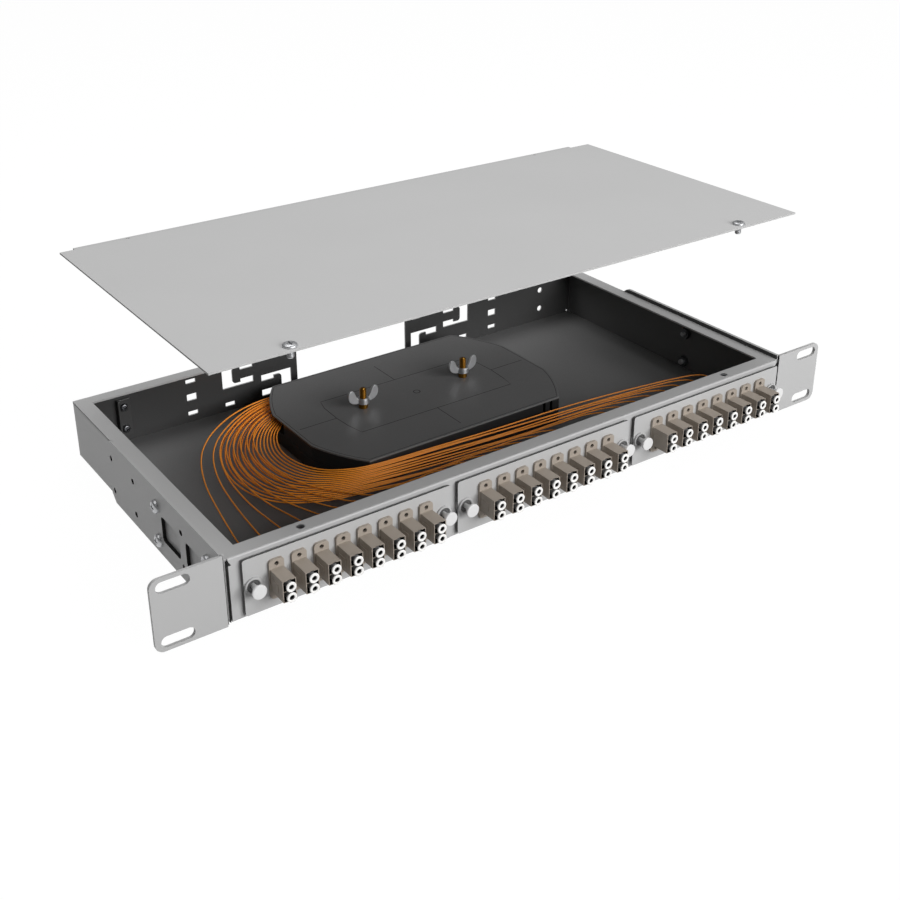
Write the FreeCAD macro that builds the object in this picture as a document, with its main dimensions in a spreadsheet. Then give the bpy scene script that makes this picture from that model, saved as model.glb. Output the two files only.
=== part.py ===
import FreeCAD, Part
import Sketcher
import math
import os

# A one-unit fibre optic patch panel for a 19 inch rack, in millimetres.
# X runs to the right, Y into the depth of the rack and Z up.
# The origin is midway between the four slots of the rack ears, on the ears' front faces.

SIZES = {
    # Rack ears
    "ear_span": 482.6,
    "ear_height": 42.4,
    "ear_sheet": 2.0,
    "ear_corner": 5.0,
    "slot_spacing_x": 458.0,
    "slot_spacing_z": 31.75,
    "slot_length": 18.0,
    "slot_width": 6.5,
    "flange_depth": 151.6,
    "flange_chamfer": 5.0,
    "flange_round": 6.0,
    "hole_first": 17.2,
    "hole_pitch": 32.35,
    "hole_rows": 21.8,
    "hole_centre_z": -1.9,
    "hole_radius": 1.7,
    "window_first": 21.2,
    "window_length": 23.4,
    "window_pitch": 31.4,
    "window_height": 16.0,
    "window_corner": 1.5,
    # Tray
    "tray_width": 402.4,
    "tray_depth": 212.0,
    "tray_height": 38.1,
    "tray_lift": 1.6,
    "tray_sheet": 1.2,
    "tray_bend": 2.0,
    "rim_side": 9.5,
    "rim_front": 9.0,
    "rim_rear": 8.3,
    # Rear wall openings, measured from the middle and from the tray's underside
    "entry_half": 44.8,
    "entry_low": 5.0,
    "entry_height": 28.4,
    "tie_width": 22.8,
    "tie_height": 15.7,
    "tie_bar": 4.6,
    "tie_leg": 7.6,
    "tie_head": 4.9,
    "tie_overlap": 2.3,
    "tie_inner_x": 49.6,
    "tie_inner_z": 4.6,
    "tie_outer_x": 78.3,
    "tie_outer_z": 17.7,
    "vent_width": 7.0,
    "vent_low": 2.9,
    "vent_tall": 4.8,
    "vent_outer_x": 119.9,
    "vent_outer_z": 5.9,
    "vent_pitch": 11.55,
    "vent_side_x": 93.0,
    "vent_side_z": 4.5,
    "vent_top_x": 50.5,
    "vent_top_z": 30.5,
    "clamp_x": 170.3,
    "clamp_low_z": 10.8,
    "clamp_spacing": 15.2,
    # Front panel
    "front_sheet": 1.1,
    "front_gap": 0.3,
    "front_bend": 1.0,
    "front_window_width": 107.0,
    "front_window_height": 19.0,
    "front_hole_radius": 3.5,
    # Adapter plates
    "plate_width": 127.2,
    "plate_height": 33.6,
    "plate_sheet": 1.2,
    "plate_pitch": 132.0,
    "plate_offset": 2.2,
    "plate_corner": 1.5,
    "plate_stand": 1.5,
    "plate_drop": 0.5,
    "pad_radius": 4.6,
    "latch_spacing": 117.2,
    "plate_hole_radius": 3.0,
    "plate_travel": 30.0,
    # Duplex adapters
    "adapter_pitch": 13.1,
    "adapter_shift": 0.4,
    "adapter_width": 7.8,
    "adapter_height": 12.8,
    "adapter_front": 13.0,
    "adapter_rear": 11.5,
    "adapter_corner": 1.2,
    "adapter_flange_width": 8.6,
    "adapter_flange_height": 23.2,
    "adapter_flange": 1.6,
    "adapter_hole_spacing": 18.0,
    "adapter_hole_radius": 0.9,
    "adapter_fit": 0.15,
    "port_width": 6.2,
    "port_height": 5.7,
    "port_pitch": 6.25,
    "port_front_depth": 9.0,
    "port_rear_depth": 9.0,
    # Dust caps
    "cap_radius": 2.8,
    "cap_bore": 1.3,
    "cap_bore_depth": 5.0,
    "cap_proud": 2.3,
    # Rear plugs and fibres
    "plug_side": 4.8,
    "plug_body": 5.6,
    "plug_body_length": 9.0,
    "plug_boot_length": 9.0,
    "plug_boot_radius": 1.6,
    "fibre_radius": 0.45,
    # Push-pull latches
    "grommet_radius": 4.9,
    "grommet_cup": 3.7,
    "grommet_lip": 1.3,
    "grommet_floor": 0.5,
    "grommet_legs": 4.0,
    "grommet_bore": 1.75,
    "plunger_pin": 1.4,
    "plunger_head": 4.1,
    "plunger_head_thick": 1.4,
    "plunger_reach": 7.9,
    "plunger_tip": 3.6,
    "plunger_travel": 4.5,
    # Cover
    "cover_sheet": 1.0,
    "cover_width": 402.2,
    "cover_depth": 197.6,
    "cover_lift": 101.2,
    "tongue_half": 190.0,
    "tongue_gap": 0.5,
    "cover_screw_x": 155.5,
    "cover_screw_y": 5.4,
    "cover_hole": 2.4,
    "hook_width": 5.0,
    # Screws
    "screw_radius": 1.9,
    "screw_fit": 0.3,
    "screw_head": 3.9,
    "screw_head_thick": 2.4,
    "cover_screw_length": 6.3,
    "ear_screw_length": 8.0,
    "nut_flats": 7.0,
    "nut_thick": 3.0,
    "nut_fit": 0.1,
    "rivet_nut_radius": 3.4,
    "rivet_nut_length": 7.0,
    # Splice cassette
    "cassette_half": 92.4,
    "cassette_front": 70.8,
    "cassette_depth": 123.2,
    "cassette_flat": 73.0,
    "cassette_shoulder": 37.0,
    "cassette_bulge": 2.0,
    "cassette_height": 8.4,
    "cassette_wall": 1.6,
    "cassette_floor": 1.4,
    "lid_thick": 1.2,
    "exit_front": 143.0,
    "exit_rear": 191.0,
    "exit_inner": 70.0,
    "relief_first": 60.8,
    "relief_pitch": 5.7,
    "relief_width": 2.0,
    "stud_x": 39.5,
    "stud_radius": 2.0,
    "stud_top": 14.0,
    "stud_post": 4.5,
    "stud_fit": 0.3,
    "nut_lift": 0.1,
    "wing_hub": 4.2,
    "wing_hub_height": 5.0,
    "wing_reach": 11.2,
    "collar_radius": 3.0,
    "collar_height": 1.6,
    "wing_rise": 12.4,
    "wing_thick": 1.5,
    "sleeve_radius": 1.2,
    "sleeve_length": 45.0,
    "sleeve_pitch": 3.2,
    "holder_length": 36.0,
    "holder_rib": 0.6,
    # Cable clamp
    "clamp_width": 9.0,
    "clamp_height": 26.0,
    "clamp_sheet": 1.5,
    "clamp_lip": 4.0,
    "small_screw_radius": 1.4,
    "small_head_radius": 2.7,
    "small_head_thick": 1.8,
}

doc = FreeCAD.newDocument("patch_panel")
sheet = doc.addObject("Spreadsheet::Sheet", "Sizes")
for row, (alias, number) in enumerate(SIZES.items(), start=1):
    sheet.set("A%d" % row, alias)
    sheet.set("B%d" % row, str(number))
    sheet.setAlias("B%d" % row, alias)
doc.recompute()


class Size:
    """A length that knows both its number and the sheet expression that gives it."""

    def __init__(self, number, text):
        self.number = float(number)
        self.text = text

    def __add__(self, other):
        other = as_size(other)
        return Size(self.number + other.number, "(%s + %s)" % (self.text, other.text))

    def __sub__(self, other):
        other = as_size(other)
        return Size(self.number - other.number, "(%s - %s)" % (self.text, other.text))

    def __mul__(self, other):
        other = as_size(other)
        return Size(self.number * other.number, "(%s * %s)" % (self.text, other.text))

    def __truediv__(self, other):
        other = as_size(other)
        return Size(self.number / other.number, "(%s / %s)" % (self.text, other.text))

    def __neg__(self):
        return Size(-self.number, "(0 - %s)" % self.text)

    def __rmul__(self, other):
        return as_size(other) * self

    def __radd__(self, other):
        return as_size(other) + self

    def __rsub__(self, other):
        return as_size(other) - self


def as_size(value):
    if isinstance(value, Size):
        return value
    return Size(value, "(%.6f)" % value)


def size(alias):
    return Size(SIZES[alias], "Sizes.%s" % alias)


def bind(thing, prop, value):
    thing.setExpression(prop, as_size(value).text)


def place(thing, x=0, y=0, z=0):
    """Bind the base point of a placement."""
    for axis, value in zip("xyz", (x, y, z)):
        bind(thing, "Placement.Base.%s" % axis, value)
    return thing


# Primitives and booleans

def box(name, low, high):
    item = doc.addObject("Part::Box", name)
    place(item, *low)
    for prop, start, end in zip(("Length", "Width", "Height"), low, high):
        bind(item, prop, as_size(end) - start)
    return item


TURNS = {
    "x": FreeCAD.Rotation(FreeCAD.Vector(0, 1, 0), 90),
    "y": FreeCAD.Rotation(FreeCAD.Vector(1, 0, 0), -90),
    "z": FreeCAD.Rotation(),
}


def cylinder(name, base, axis, radius, length):
    item = doc.addObject("Part::Cylinder", name)
    item.Placement.Rotation = TURNS[axis]
    place(item, *base)
    bind(item, "Radius", radius)
    bind(item, "Height", length)
    return item


def cone(name, base, axis, radius_low, radius_high, length):
    item = doc.addObject("Part::Cone", name)
    item.Placement.Rotation = TURNS[axis]
    place(item, *base)
    bind(item, "Radius1", radius_low)
    bind(item, "Radius2", radius_high)
    bind(item, "Height", length)
    return item


def prism(name, base, axis, flats, length):
    """A hexagon bar, given by the distance across its flats."""
    item = doc.addObject("Part::Prism", name)
    item.Polygon = 6
    item.Placement.Rotation = TURNS[axis]
    place(item, *base)
    bind(item, "Circumradius", as_size(flats) / math.sqrt(3))
    bind(item, "Height", length)
    return item


def turned(axis, stations, sides=12, hole=False):
    """A many-sided turned solid, given by pairs of place and radius along its axis."""
    grow = 1 / math.cos(math.pi / sides) if hole else 1
    slices = []
    numbers = [(as_size(place).number, as_size(radius).number * grow) for place, radius in stations]
    for (low, first), (high, last) in zip(numbers, numbers[1:]):
        if high - low < 1e-6:
            continue
        wires = []
        for place, radius in ((low, first), (high, last)):
            turns = [math.tau * (step + 0.5) / sides for step in range(sides)]
            spots = [TURNS[axis] * FreeCAD.Vector(radius * math.cos(turn), radius * math.sin(turn), place)
                     for turn in turns]
            wires.append(Part.makePolygon(spots + spots[:1]))
        slices.append(Part.makeLoft(wires, True, True))
    shape = slices[0]
    return shape.multiFuse(slices[1:]).removeSplitter() if len(slices) > 1 else shape


def fuse(name, *shapes):
    item = doc.addObject("Part::MultiFuse", name)
    item.Shapes = list(shapes)
    item.Refine = True
    return item


def cut(name, base, *tools):
    item = doc.addObject("Part::Cut", name)
    item.Base = base
    item.Tool = tools[0] if len(tools) == 1 else fuse(name + "_tools", *tools)
    item.Refine = True
    return item


def mirrored(name, source):
    """The same piece on the other side of the middle plane."""
    item = doc.addObject("Part::Mirroring", name)
    item.Source = source
    item.Normal = FreeCAD.Vector(1, 0, 0)
    return item


def group(name, *shapes):
    """Separate solids that share one node."""
    item = doc.addObject("Part::Feature", name)
    doc.recompute()
    solids = [solid for shape in shapes for solid in getattr(shape, "Shape", shape).Solids]
    item.Shape = Part.makeCompound(solids)
    return item


def moved(source, x=0.0, y=0.0, z=0.0):
    """A copy of a finished shape at another place."""
    shape = getattr(source, "Shape", source).copy()
    shape.translate(FreeCAD.Vector(x, y, z))
    return shape


# Sketches and features of a body

def origin_plane(body, role):
    for feature in body.Origin.OriginFeatures:
        if feature.Role == role:
            return feature


def sketch_on(body, name, role, offset=0):
    sketch = body.newObject("Sketcher::SketchObject", name)
    sketch.AttachmentSupport = [(origin_plane(body, role), "")]
    sketch.MapMode = "FlatFace"
    bind(sketch, "AttachmentOffset.Base.z", offset)
    return sketch


def fix_point(sketch, line, end, point):
    for kind, value in zip(("DistanceX", "DistanceY"), point):
        value = as_size(value)
        index = sketch.addConstraint(Sketcher.Constraint(kind, -1, 1, line, end, value.number))
        bind(sketch, "Constraints[%d]" % index, value)


def draw_loop(sketch, points):
    """A closed outline of straight lines, each corner bound to the sheet."""
    spots = [FreeCAD.Vector(as_size(x).number, as_size(y).number, 0) for x, y in points]
    first = sketch.GeometryCount
    for start, end in zip(spots, spots[1:] + spots[:1]):
        sketch.addGeometry(Part.LineSegment(start, end))
    for step, point in enumerate(points):
        following = first + (step + 1) % len(points)
        sketch.addConstraint(Sketcher.Constraint("Coincident", first + step, 2, following, 1))
        fix_point(sketch, first + step, 1, point)


def draw_rectangle(sketch, low, high):
    draw_loop(sketch, [low, (high[0], low[1]), high, (low[0], high[1])])


def draw_circle(sketch, centre, radius):
    radius = as_size(radius)
    spot = FreeCAD.Vector(as_size(centre[0]).number, as_size(centre[1]).number, 0)
    line = sketch.addGeometry(Part.Circle(spot, FreeCAD.Vector(0, 0, 1), radius.number))
    index = sketch.addConstraint(Sketcher.Constraint("Radius", line, radius.number))
    bind(sketch, "Constraints[%d]" % index, radius)
    fix_point(sketch, line, 3, centre)


def draw_round_hole(sketch, centre, radius, sides=8):
    """A hole drawn with flat sides, all of them clear of a round pin of that radius."""
    reach = as_size(radius) / math.cos(math.pi / sides)
    turns = [math.tau * (step + 0.5) / sides for step in range(sides)]
    draw_loop(sketch, [(centre[0] + reach * math.cos(turn), centre[1] + reach * math.sin(turn))
                       for turn in turns])


def pad(body, name, sketch, length, reverse=False):
    feature = body.newObject("PartDesign::Pad", name)
    feature.Profile = sketch
    bind(feature, "Length", length)
    feature.Reversed = reverse
    doc.recompute()
    return feature


def pocket(body, name, sketch, length, reverse=False, both=False):
    """Cut a profile away, and make sure that the cut met the body."""
    before = body.Tip.Shape.Volume
    feature = body.newObject("PartDesign::Pocket", name)
    feature.Profile = sketch
    bind(feature, "Length", length)
    feature.Reversed = reverse
    feature.Midplane = both
    doc.recompute()
    if feature.Shape.Volume >= before:
        raise ValueError("%s cuts nothing" % name)
    return feature


def edges_along(shape, axis, where):
    """Names of the straight edges along one axis whose middle passes a test."""
    names = []
    for number, edge in enumerate(shape.Edges, start=1):
        ends = [vertex.Point for vertex in edge.Vertexes]
        if len(ends) != 2 or edge.Curve.TypeId != "Part::GeomLine":
            continue
        if abs((ends[1] - ends[0]).normalize().dot(axis)) > 0.999 and where((ends[0] + ends[1]) / 2):
            names.append("Edge%d" % number)
    return names


def round_edges(body, name, axis, radius, where):
    base = body.Tip
    feature = body.newObject("PartDesign::Fillet", name)
    feature.Base = (base, edges_along(base.Shape, axis, where))
    bind(feature, "Radius", radius)
    doc.recompute()
    return feature


def slant_edges(body, name, axis, width, where):
    base = body.Tip
    feature = body.newObject("PartDesign::Chamfer", name)
    feature.Base = (base, edges_along(base.Shape, axis, where))
    bind(feature, "Size", width)
    doc.recompute()
    return feature


def new_body(name):
    return doc.addObject("PartDesign::Body", name)


ALONG_X = FreeCAD.Vector(1, 0, 0)
ALONG_Y = FreeCAD.Vector(0, 1, 0)
ALONG_Z = FreeCAD.Vector(0, 0, 1)

# Levels and half widths that several pieces share
half_tray = size("tray_width") / 2
tray_low = size("tray_lift") - size("ear_height") / 2
tray_top = tray_low + size("tray_height")
floor_top = tray_low + size("tray_sheet")
rear_inside = size("tray_depth") - size("tray_sheet")
wall_inside = half_tray - size("tray_sheet")
flange_outside = half_tray + size("ear_sheet")
hole_low = size("hole_centre_z") - size("hole_rows") / 2
hole_high = size("hole_centre_z") + size("hole_rows") / 2
screw_stations = [size("hole_first"), size("hole_first") + size("hole_pitch") * 2]


def tie_opening(sketch, side, inner_x, low, legs_out):
    """A C-shaped opening round a T-shaped tongue that cable ties loop over."""
    wide, tall = size("tie_width"), size("tie_height")
    bar, leg, head = size("tie_bar"), size("tie_leg"), size("tie_head")
    over = size("tie_overlap")
    spine, mouth = (inner_x, inner_x + wide) if not legs_out else (inner_x + wide, inner_x)
    step = 1 if not legs_out else -1
    neck = spine + (leg + head) * step
    tip = spine + leg * step
    points = [
        (mouth, low), (spine, low), (spine, low + tall), (mouth, low + tall),
        (mouth, low + tall - bar), (neck, low + tall - bar), (neck, low + tall - over),
        (tip, low + tall - over), (tip, low + over), (neck, low + over),
        (neck, low + bar), (mouth, low + bar),
    ]
    draw_loop(sketch, [(x * side, z) for x, z in points])


def vent(sketch, side, x, low, height):
    near, far = x * side, (x + size("vent_width")) * side
    draw_rectangle(sketch, (near, low), (far, low + height))


def rear_wall_openings(body):
    sketch = sketch_on(body, "rear_wall_profile", "XZ_Plane", -size("tray_depth"))
    half, low = size("entry_half"), tray_low
    entry_low = low + size("entry_low")
    draw_rectangle(sketch, (-half, entry_low), (half, entry_low + size("entry_height")))
    for side in (-1, 1):
        tie_opening(sketch, side, size("tie_inner_x"), low + size("tie_inner_z"), False)
        tie_opening(sketch, side, size("tie_outer_x"), low + size("tie_outer_z"), True)
        column = low + size("vent_outer_z")
        middle = column + size("vent_pitch") - size("vent_low") / 3
        vent(sketch, side, size("vent_outer_x"), column, size("vent_low"))
        vent(sketch, side, size("vent_outer_x"), middle, size("vent_tall"))
        vent(sketch, side, size("vent_outer_x"), column + size("vent_pitch") * 2, size("vent_low"))
        vent(sketch, side, size("vent_side_x"), low + size("vent_side_z"), size("vent_low"))
        vent(sketch, side, size("vent_top_x"), low + size("vent_top_z"), size("vent_low"))
        for level in (0, size("clamp_spacing")):
            spot = (size("clamp_x") * side, low + size("clamp_low_z") + level)
            draw_round_hole(sketch, spot, size("small_screw_radius") + size("screw_fit") / 2)
    pocket(body, "rear_wall_cut", sketch, size("tray_sheet") * 2, both=True)


def make_tray():
    """One folded sheet: floor, two side walls, rear wall and a rim turned inwards all round."""
    body = new_body("tray_fold")
    start = size("front_sheet")
    outline = sketch_on(body, "tray_outline", "XY_Plane", tray_low)
    draw_rectangle(outline, (-half_tray, start), (half_tray, size("tray_depth")))
    pad(body, "tray_block", outline, size("tray_height"))
    depth = size("tray_depth").number
    round_edges(body, "tray_bends", ALONG_Z, size("tray_bend"), lambda p: p.y > depth - 1)
    inside = sketch_on(body, "tray_inside", "XY_Plane", floor_top)
    draw_rectangle(inside, (-wall_inside, 0), (wall_inside, rear_inside))
    pocket(body, "tray_hollow", inside, size("tray_height") - size("tray_sheet") * 2, reverse=True)
    mouth = sketch_on(body, "tray_mouth", "XY_Plane", tray_top)
    low = (size("rim_side") - half_tray, start + size("rim_front"))
    high = (half_tray - size("rim_side"), size("tray_depth") - size("rim_rear"))
    draw_rectangle(mouth, low, high)
    pocket(body, "tray_opening", mouth, size("tray_sheet") * 2)
    rear_wall_openings(body)
    holes = sketch_on(body, "side_wall_holes", "YZ_Plane")
    for y in screw_stations:
        for z in (hole_low, hole_high):
            draw_round_hole(holes, (y, z), size("screw_radius") + size("screw_fit"))
    pocket(body, "side_wall_bores", holes, size("tray_width") * 1.1, both=True)
    screws = sketch_on(body, "rim_holes", "XY_Plane", tray_top)
    for side in (-1, 1):
        spot = (size("cover_screw_x") * side, size("cover_screw_y"))
        draw_round_hole(screws, spot, size("cover_hole"), 12)
    pocket(body, "rim_bores", screws, size("tray_sheet") * 2)
    return tray_panels(body.Shape, start)


def tray_panels(folded, start):
    """The folded sheet as its flat panels, which meet face to face along the bends."""
    wide, rear = half_tray + 1, size("tray_depth") + 1
    under, over = tray_top - size("tray_sheet"), tray_top + 1
    front_rim, rear_rim = start + size("rim_front"), size("tray_depth") - size("rim_rear")
    panels = [
        ((-wide, 0, tray_low - 1), (wide, rear, floor_top)),
        ((-wide, 0, floor_top), (-wall_inside, rear, under)),
        ((wall_inside, 0, floor_top), (wide, rear, under)),
        ((-wall_inside, rear_inside, floor_top), (wall_inside, rear, under)),
        ((-wide, 0, under), (wide, front_rim, over)),
        ((-wide, rear_rim, under), (wide, rear, over)),
        ((-wide, front_rim, under), (0, rear_rim, over)),
        ((0, front_rim, under), (wide, rear_rim, over)),
    ]
    return group("tray", *[folded.common(bar(low, high)) for low, high in panels])


def make_rack_ear():
    """An angle of thicker sheet: a long flange on the tray's side and a slotted ear in front."""
    body = new_body("rack_ear_left")
    half = size("ear_height") / 2
    flange = sketch_on(body, "flange_outline", "YZ_Plane", -flange_outside)
    end, slant = size("flange_depth"), size("flange_chamfer")
    draw_loop(flange, [(0, -half), (end - slant, -half), (end, -half + slant), (end, half), (0, half)])
    pad(body, "flange_sheet", flange, size("ear_sheet"))
    depth = size("flange_depth").number
    top = half.number
    round_edges(body, "flange_rounding", ALONG_X, size("flange_round"),
                lambda p: p.y > depth - 1 and p.z > top - 1)
    ear = sketch_on(body, "ear_outline", "XZ_Plane")
    draw_rectangle(ear, (-size("ear_span") / 2, -half), (-half_tray, half))
    pad(body, "ear_sheet_metal", ear, size("ear_sheet"), reverse=True)
    tip = size("ear_span").number / 2
    round_edges(body, "ear_rounding", ALONG_Y, size("ear_corner"), lambda p: p.x < 1 - tip)
    slots = sketch_on(body, "ear_slots", "XZ_Plane")
    ends = sketch_on(body, "ear_slot_ends", "XZ_Plane")
    high = size("slot_width") / 2
    reach = size("slot_length") / 2 - high
    for row in (-1, 1):
        x = -size("slot_spacing_x") / 2
        z = size("slot_spacing_z") / 2 * row
        draw_rectangle(slots, (x - reach, z - high), (x + reach, z + high))
        draw_circle(ends, (x - reach, z), high)
        draw_circle(ends, (x + reach, z), high)
    pocket(body, "slot_cut", slots, size("ear_sheet") * 3, both=True)
    pocket(body, "slot_end_cut", ends, size("ear_sheet") * 3, both=True)
    holes = sketch_on(body, "flange_holes", "YZ_Plane", -flange_outside)
    for station in range(5):
        for z in (hole_low, hole_high):
            spread = size("hole_radius")
            if station in (0, 2):
                spread = size("screw_radius") + size("screw_fit")
            draw_round_hole(holes, (size("hole_first") + size("hole_pitch") * station, z), spread)
    for number in range(2):
        start = size("window_first") + size("window_pitch") * number
        high = size("window_height") / 2
        middle = size("hole_centre_z")
        draw_rectangle(holes, (start, middle - high), (start + size("window_length"), middle + high))
    pocket(body, "flange_cut", holes, size("ear_sheet") * 3, both=True)
    middle = size("hole_centre_z").number
    reach = size("window_height").number / 2
    slant_edges(body, "window_corners", ALONG_X, size("window_corner"),
                lambda p: abs(abs(p.z - middle) - reach) < 0.01)
    return body


plate_centres = [size("plate_offset") + size("plate_pitch") * step for step in (-1, 0, 1)]
row_level = as_size(0)
latch_offsets = [-size("latch_spacing") / 2, size("latch_spacing") / 2]
plate_front = -(size("plate_stand") + size("plate_sheet"))
flange_front = plate_front - size("adapter_flange")
adapter_face = flange_front - size("adapter_front")
SIDES = ("left", "centre", "right")


def make_front_panel():
    """The front wall: one long window per adapter plate and a round hole per latch."""
    body = new_body("front_panel")
    half = wall_inside - size("front_gap")
    outline = sketch_on(body, "front_outline", "XZ_Plane")
    draw_rectangle(outline, (-half, tray_low), (half, tray_top))
    pad(body, "front_sheet_metal", outline, size("front_sheet"), reverse=True)
    high, low = tray_top.number, tray_low.number
    round_edges(body, "front_bends", ALONG_X, size("front_bend"),
                lambda p: p.y < 0.01 and (p.z > high - 0.01 or p.z < low + 0.01))
    openings = sketch_on(body, "front_openings", "XZ_Plane")
    reach, rise = size("front_window_width") / 2, size("front_window_height") / 2
    for centre in plate_centres:
        draw_rectangle(openings, (centre - reach, row_level - rise), (centre + reach, row_level + rise))
        for offset in latch_offsets:
            draw_round_hole(openings, (centre + offset, row_level), size("front_hole_radius"))
    pocket(body, "front_cut", openings, size("front_sheet") * 3, both=True)
    return body


def adapter_offset(number):
    return size("adapter_shift") + size("adapter_pitch") * (number - 3.5)


def make_adapter_plate(side, centre):
    """A thin plate with eight adapter cut-outs that stands on two raised pads."""
    body = new_body("adapter_plate_" + side)
    place(body, x=centre)
    half, rise = size("plate_width") / 2, size("plate_height") / 2
    middle = row_level - size("plate_drop")
    outline = sketch_on(body, "plate_outline_" + side, "XZ_Plane", size("plate_stand"))
    draw_rectangle(outline, (-half, middle - rise), (half, middle + rise))
    pad(body, "plate_sheet_" + side, outline, size("plate_sheet"))
    slant_edges(body, "plate_corners_" + side, ALONG_Y, size("plate_corner"), lambda p: True)
    feet = sketch_on(body, "plate_pads_" + side, "XZ_Plane")
    for offset in latch_offsets:
        draw_round_hole(feet, (offset, row_level), size("pad_radius"), 12)
    pad(body, "plate_feet_" + side, feet, size("plate_stand"))
    bores = sketch_on(body, "plate_bores_" + side, "XZ_Plane")
    for offset in latch_offsets:
        draw_round_hole(bores, (offset, row_level), size("plate_hole_radius"))
    pocket(body, "plate_bore_cut_" + side, bores, size("plate_stand") * 6, both=True)
    cutout = sketch_on(body, "plate_cutout_" + side, "XZ_Plane")
    reach = size("adapter_width") / 2 + size("adapter_fit")
    high = size("adapter_height") / 2 + size("adapter_fit")
    first = adapter_offset(0)
    draw_rectangle(cutout, (first - reach, row_level - high), (first + reach, row_level + high))
    opening = pocket(body, "plate_opening_" + side, cutout, size("plate_stand") * 6, both=True)
    row = body.newObject("PartDesign::LinearPattern", "plate_row_" + side)
    row.Originals = [opening]
    row.Direction = (cutout, ["H_Axis"])
    bind(row, "Length", size("adapter_pitch") * 7)
    row.Occurrences = 8
    body.Tip = row
    doc.recompute()
    return body


def adapter_solid():
    """One duplex adapter: a flanged housing with two ports in front and two behind."""
    half, rise = size("adapter_width") / 2, size("adapter_height") / 2
    rear = size("adapter_rear")
    housing = box("adapter_housing", (-half, adapter_face, -rise), (half, rear, rise))
    wide, tall = size("adapter_flange_width") / 2, size("adapter_flange_height") / 2
    body = new_body("adapter_flange_body")
    outline = sketch_on(body, "adapter_flange_outline", "XZ_Plane", -plate_front)
    draw_rectangle(outline, (-wide, -tall), (wide, tall))
    pad(body, "adapter_flange_pad", outline, size("adapter_flange"))
    slant_edges(body, "adapter_flange_corners", ALONG_Y, size("adapter_corner"), lambda p: True)
    whole = fuse("adapter_whole", housing, body)
    tools = []
    for level in (-1, 1):
        middle = size("port_pitch") / 2 * level
        low, high = middle - size("port_height") / 2, middle + size("port_height") / 2
        reach = size("port_width") / 2
        tag = "upper" if level > 0 else "lower"
        front_end = adapter_face + size("port_front_depth")
        tools.append(box("port_front_" + tag, (-reach, adapter_face - 1, low), (reach, front_end, high)))
        rear_start = rear - size("port_rear_depth")
        tools.append(box("port_rear_" + tag, (-reach, rear_start, low), (reach, rear + 1, high)))
        hole = size("adapter_hole_spacing") / 2 * level
        tools.append(prism("flange_hole_" + tag, (0, flange_front - 1, hole), "y",
                           size("adapter_hole_radius") * 2, size("adapter_flange") + 2))
    return cut("adapter", whole, *tools)


def cap_solid():
    """A dust cap for a front port: a stopper with a blind bore in its face."""
    back = adapter_face + size("port_front_depth")
    front = adapter_face - size("cap_proud")
    stopper = turned("y", [(front, size("cap_radius")), (back, size("cap_radius"))], 8)
    depth = front + size("cap_bore_depth")
    return stopper.cut(turned("y", [(front - 1, size("cap_bore")), (depth, size("cap_bore"))], 4))


def rear_cap_solid():
    """A dust cap for a free port behind the plate."""
    rear = size("adapter_rear")
    start, end = rear - size("port_rear_depth"), rear + size("cap_proud")
    return turned("y", [(start, size("cap_radius")), (end, size("cap_radius"))], 8)


plug_nose_start = size("adapter_rear") - size("port_rear_depth")
plug_body_end = size("adapter_rear") + size("plug_body_length")
plug_end = plug_body_end + size("plug_boot_length")
plug_level = -size("port_pitch") / 2


def plug_solid():
    """A small-form plug: a square nose in the adapter, a body behind it and a tapered boot."""
    half, wide = size("plug_side") / 2, size("plug_body") / 2
    rear = size("adapter_rear")
    nose = bar((-half, plug_nose_start, -half), (half, rear, half))
    shell = bar((-wide, rear, -wide), (wide, plug_body_end, wide))
    boot = turned("y", [(plug_body_end, size("plug_boot_radius") * 1.4),
                        (plug_end, size("plug_boot_radius"))], 8)
    return nose.multiFuse([shell, boot])


def grommet_solid():
    """A latch grommet: a cup in front of the plate, a barrel through it and four legs behind."""
    front = plate_front - size("grommet_lip")
    shelf = plate_front - size("grommet_floor")
    back = size("front_sheet") + size("grommet_legs")
    behind = size("front_sheet") + 1
    barrel = size("plate_hole_radius") - size("adapter_fit")
    bulge = size("front_hole_radius") - size("screw_fit")
    shape = turned("y", [
        (front, size("grommet_radius")), (plate_front, size("grommet_radius")), (plate_front, barrel),
        (size("front_sheet"), barrel), (behind, bulge), (back, barrel - 0.6),
    ])
    shape = shape.cut(turned("y", [(front - 1, size("grommet_cup")), (shelf, size("grommet_cup"))], 12))
    bore = size("grommet_bore")
    shape = shape.cut(turned("y", [(front - 1, bore), (back + 1, bore)], 8, hole=True))
    for wide, tall in ((bulge + 1, as_size(0.4)), (as_size(0.4), bulge + 1)):
        shape = shape.cut(bar((-wide, behind, -tall), (wide, back + 1, tall)))
    return shape


def plunger_solid():
    """A latch plunger: a round flat head on a pin that spreads the grommet's legs."""
    front = plate_front - size("plunger_reach")
    under = front + size("plunger_head_thick")
    neck = plate_front - size("grommet_floor") - 2
    tip = size("front_sheet") + size("plunger_tip")
    head, pin = size("plunger_head"), size("plunger_pin")
    disc = turned("y", [(front, head - 0.4), (front + 0.4, head), (under, head)], 16)
    return disc.fuse(turned("y", [(under, pin * 1.5), (neck, pin), (tip - 1, pin), (tip, pin / 2)], 8))


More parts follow.
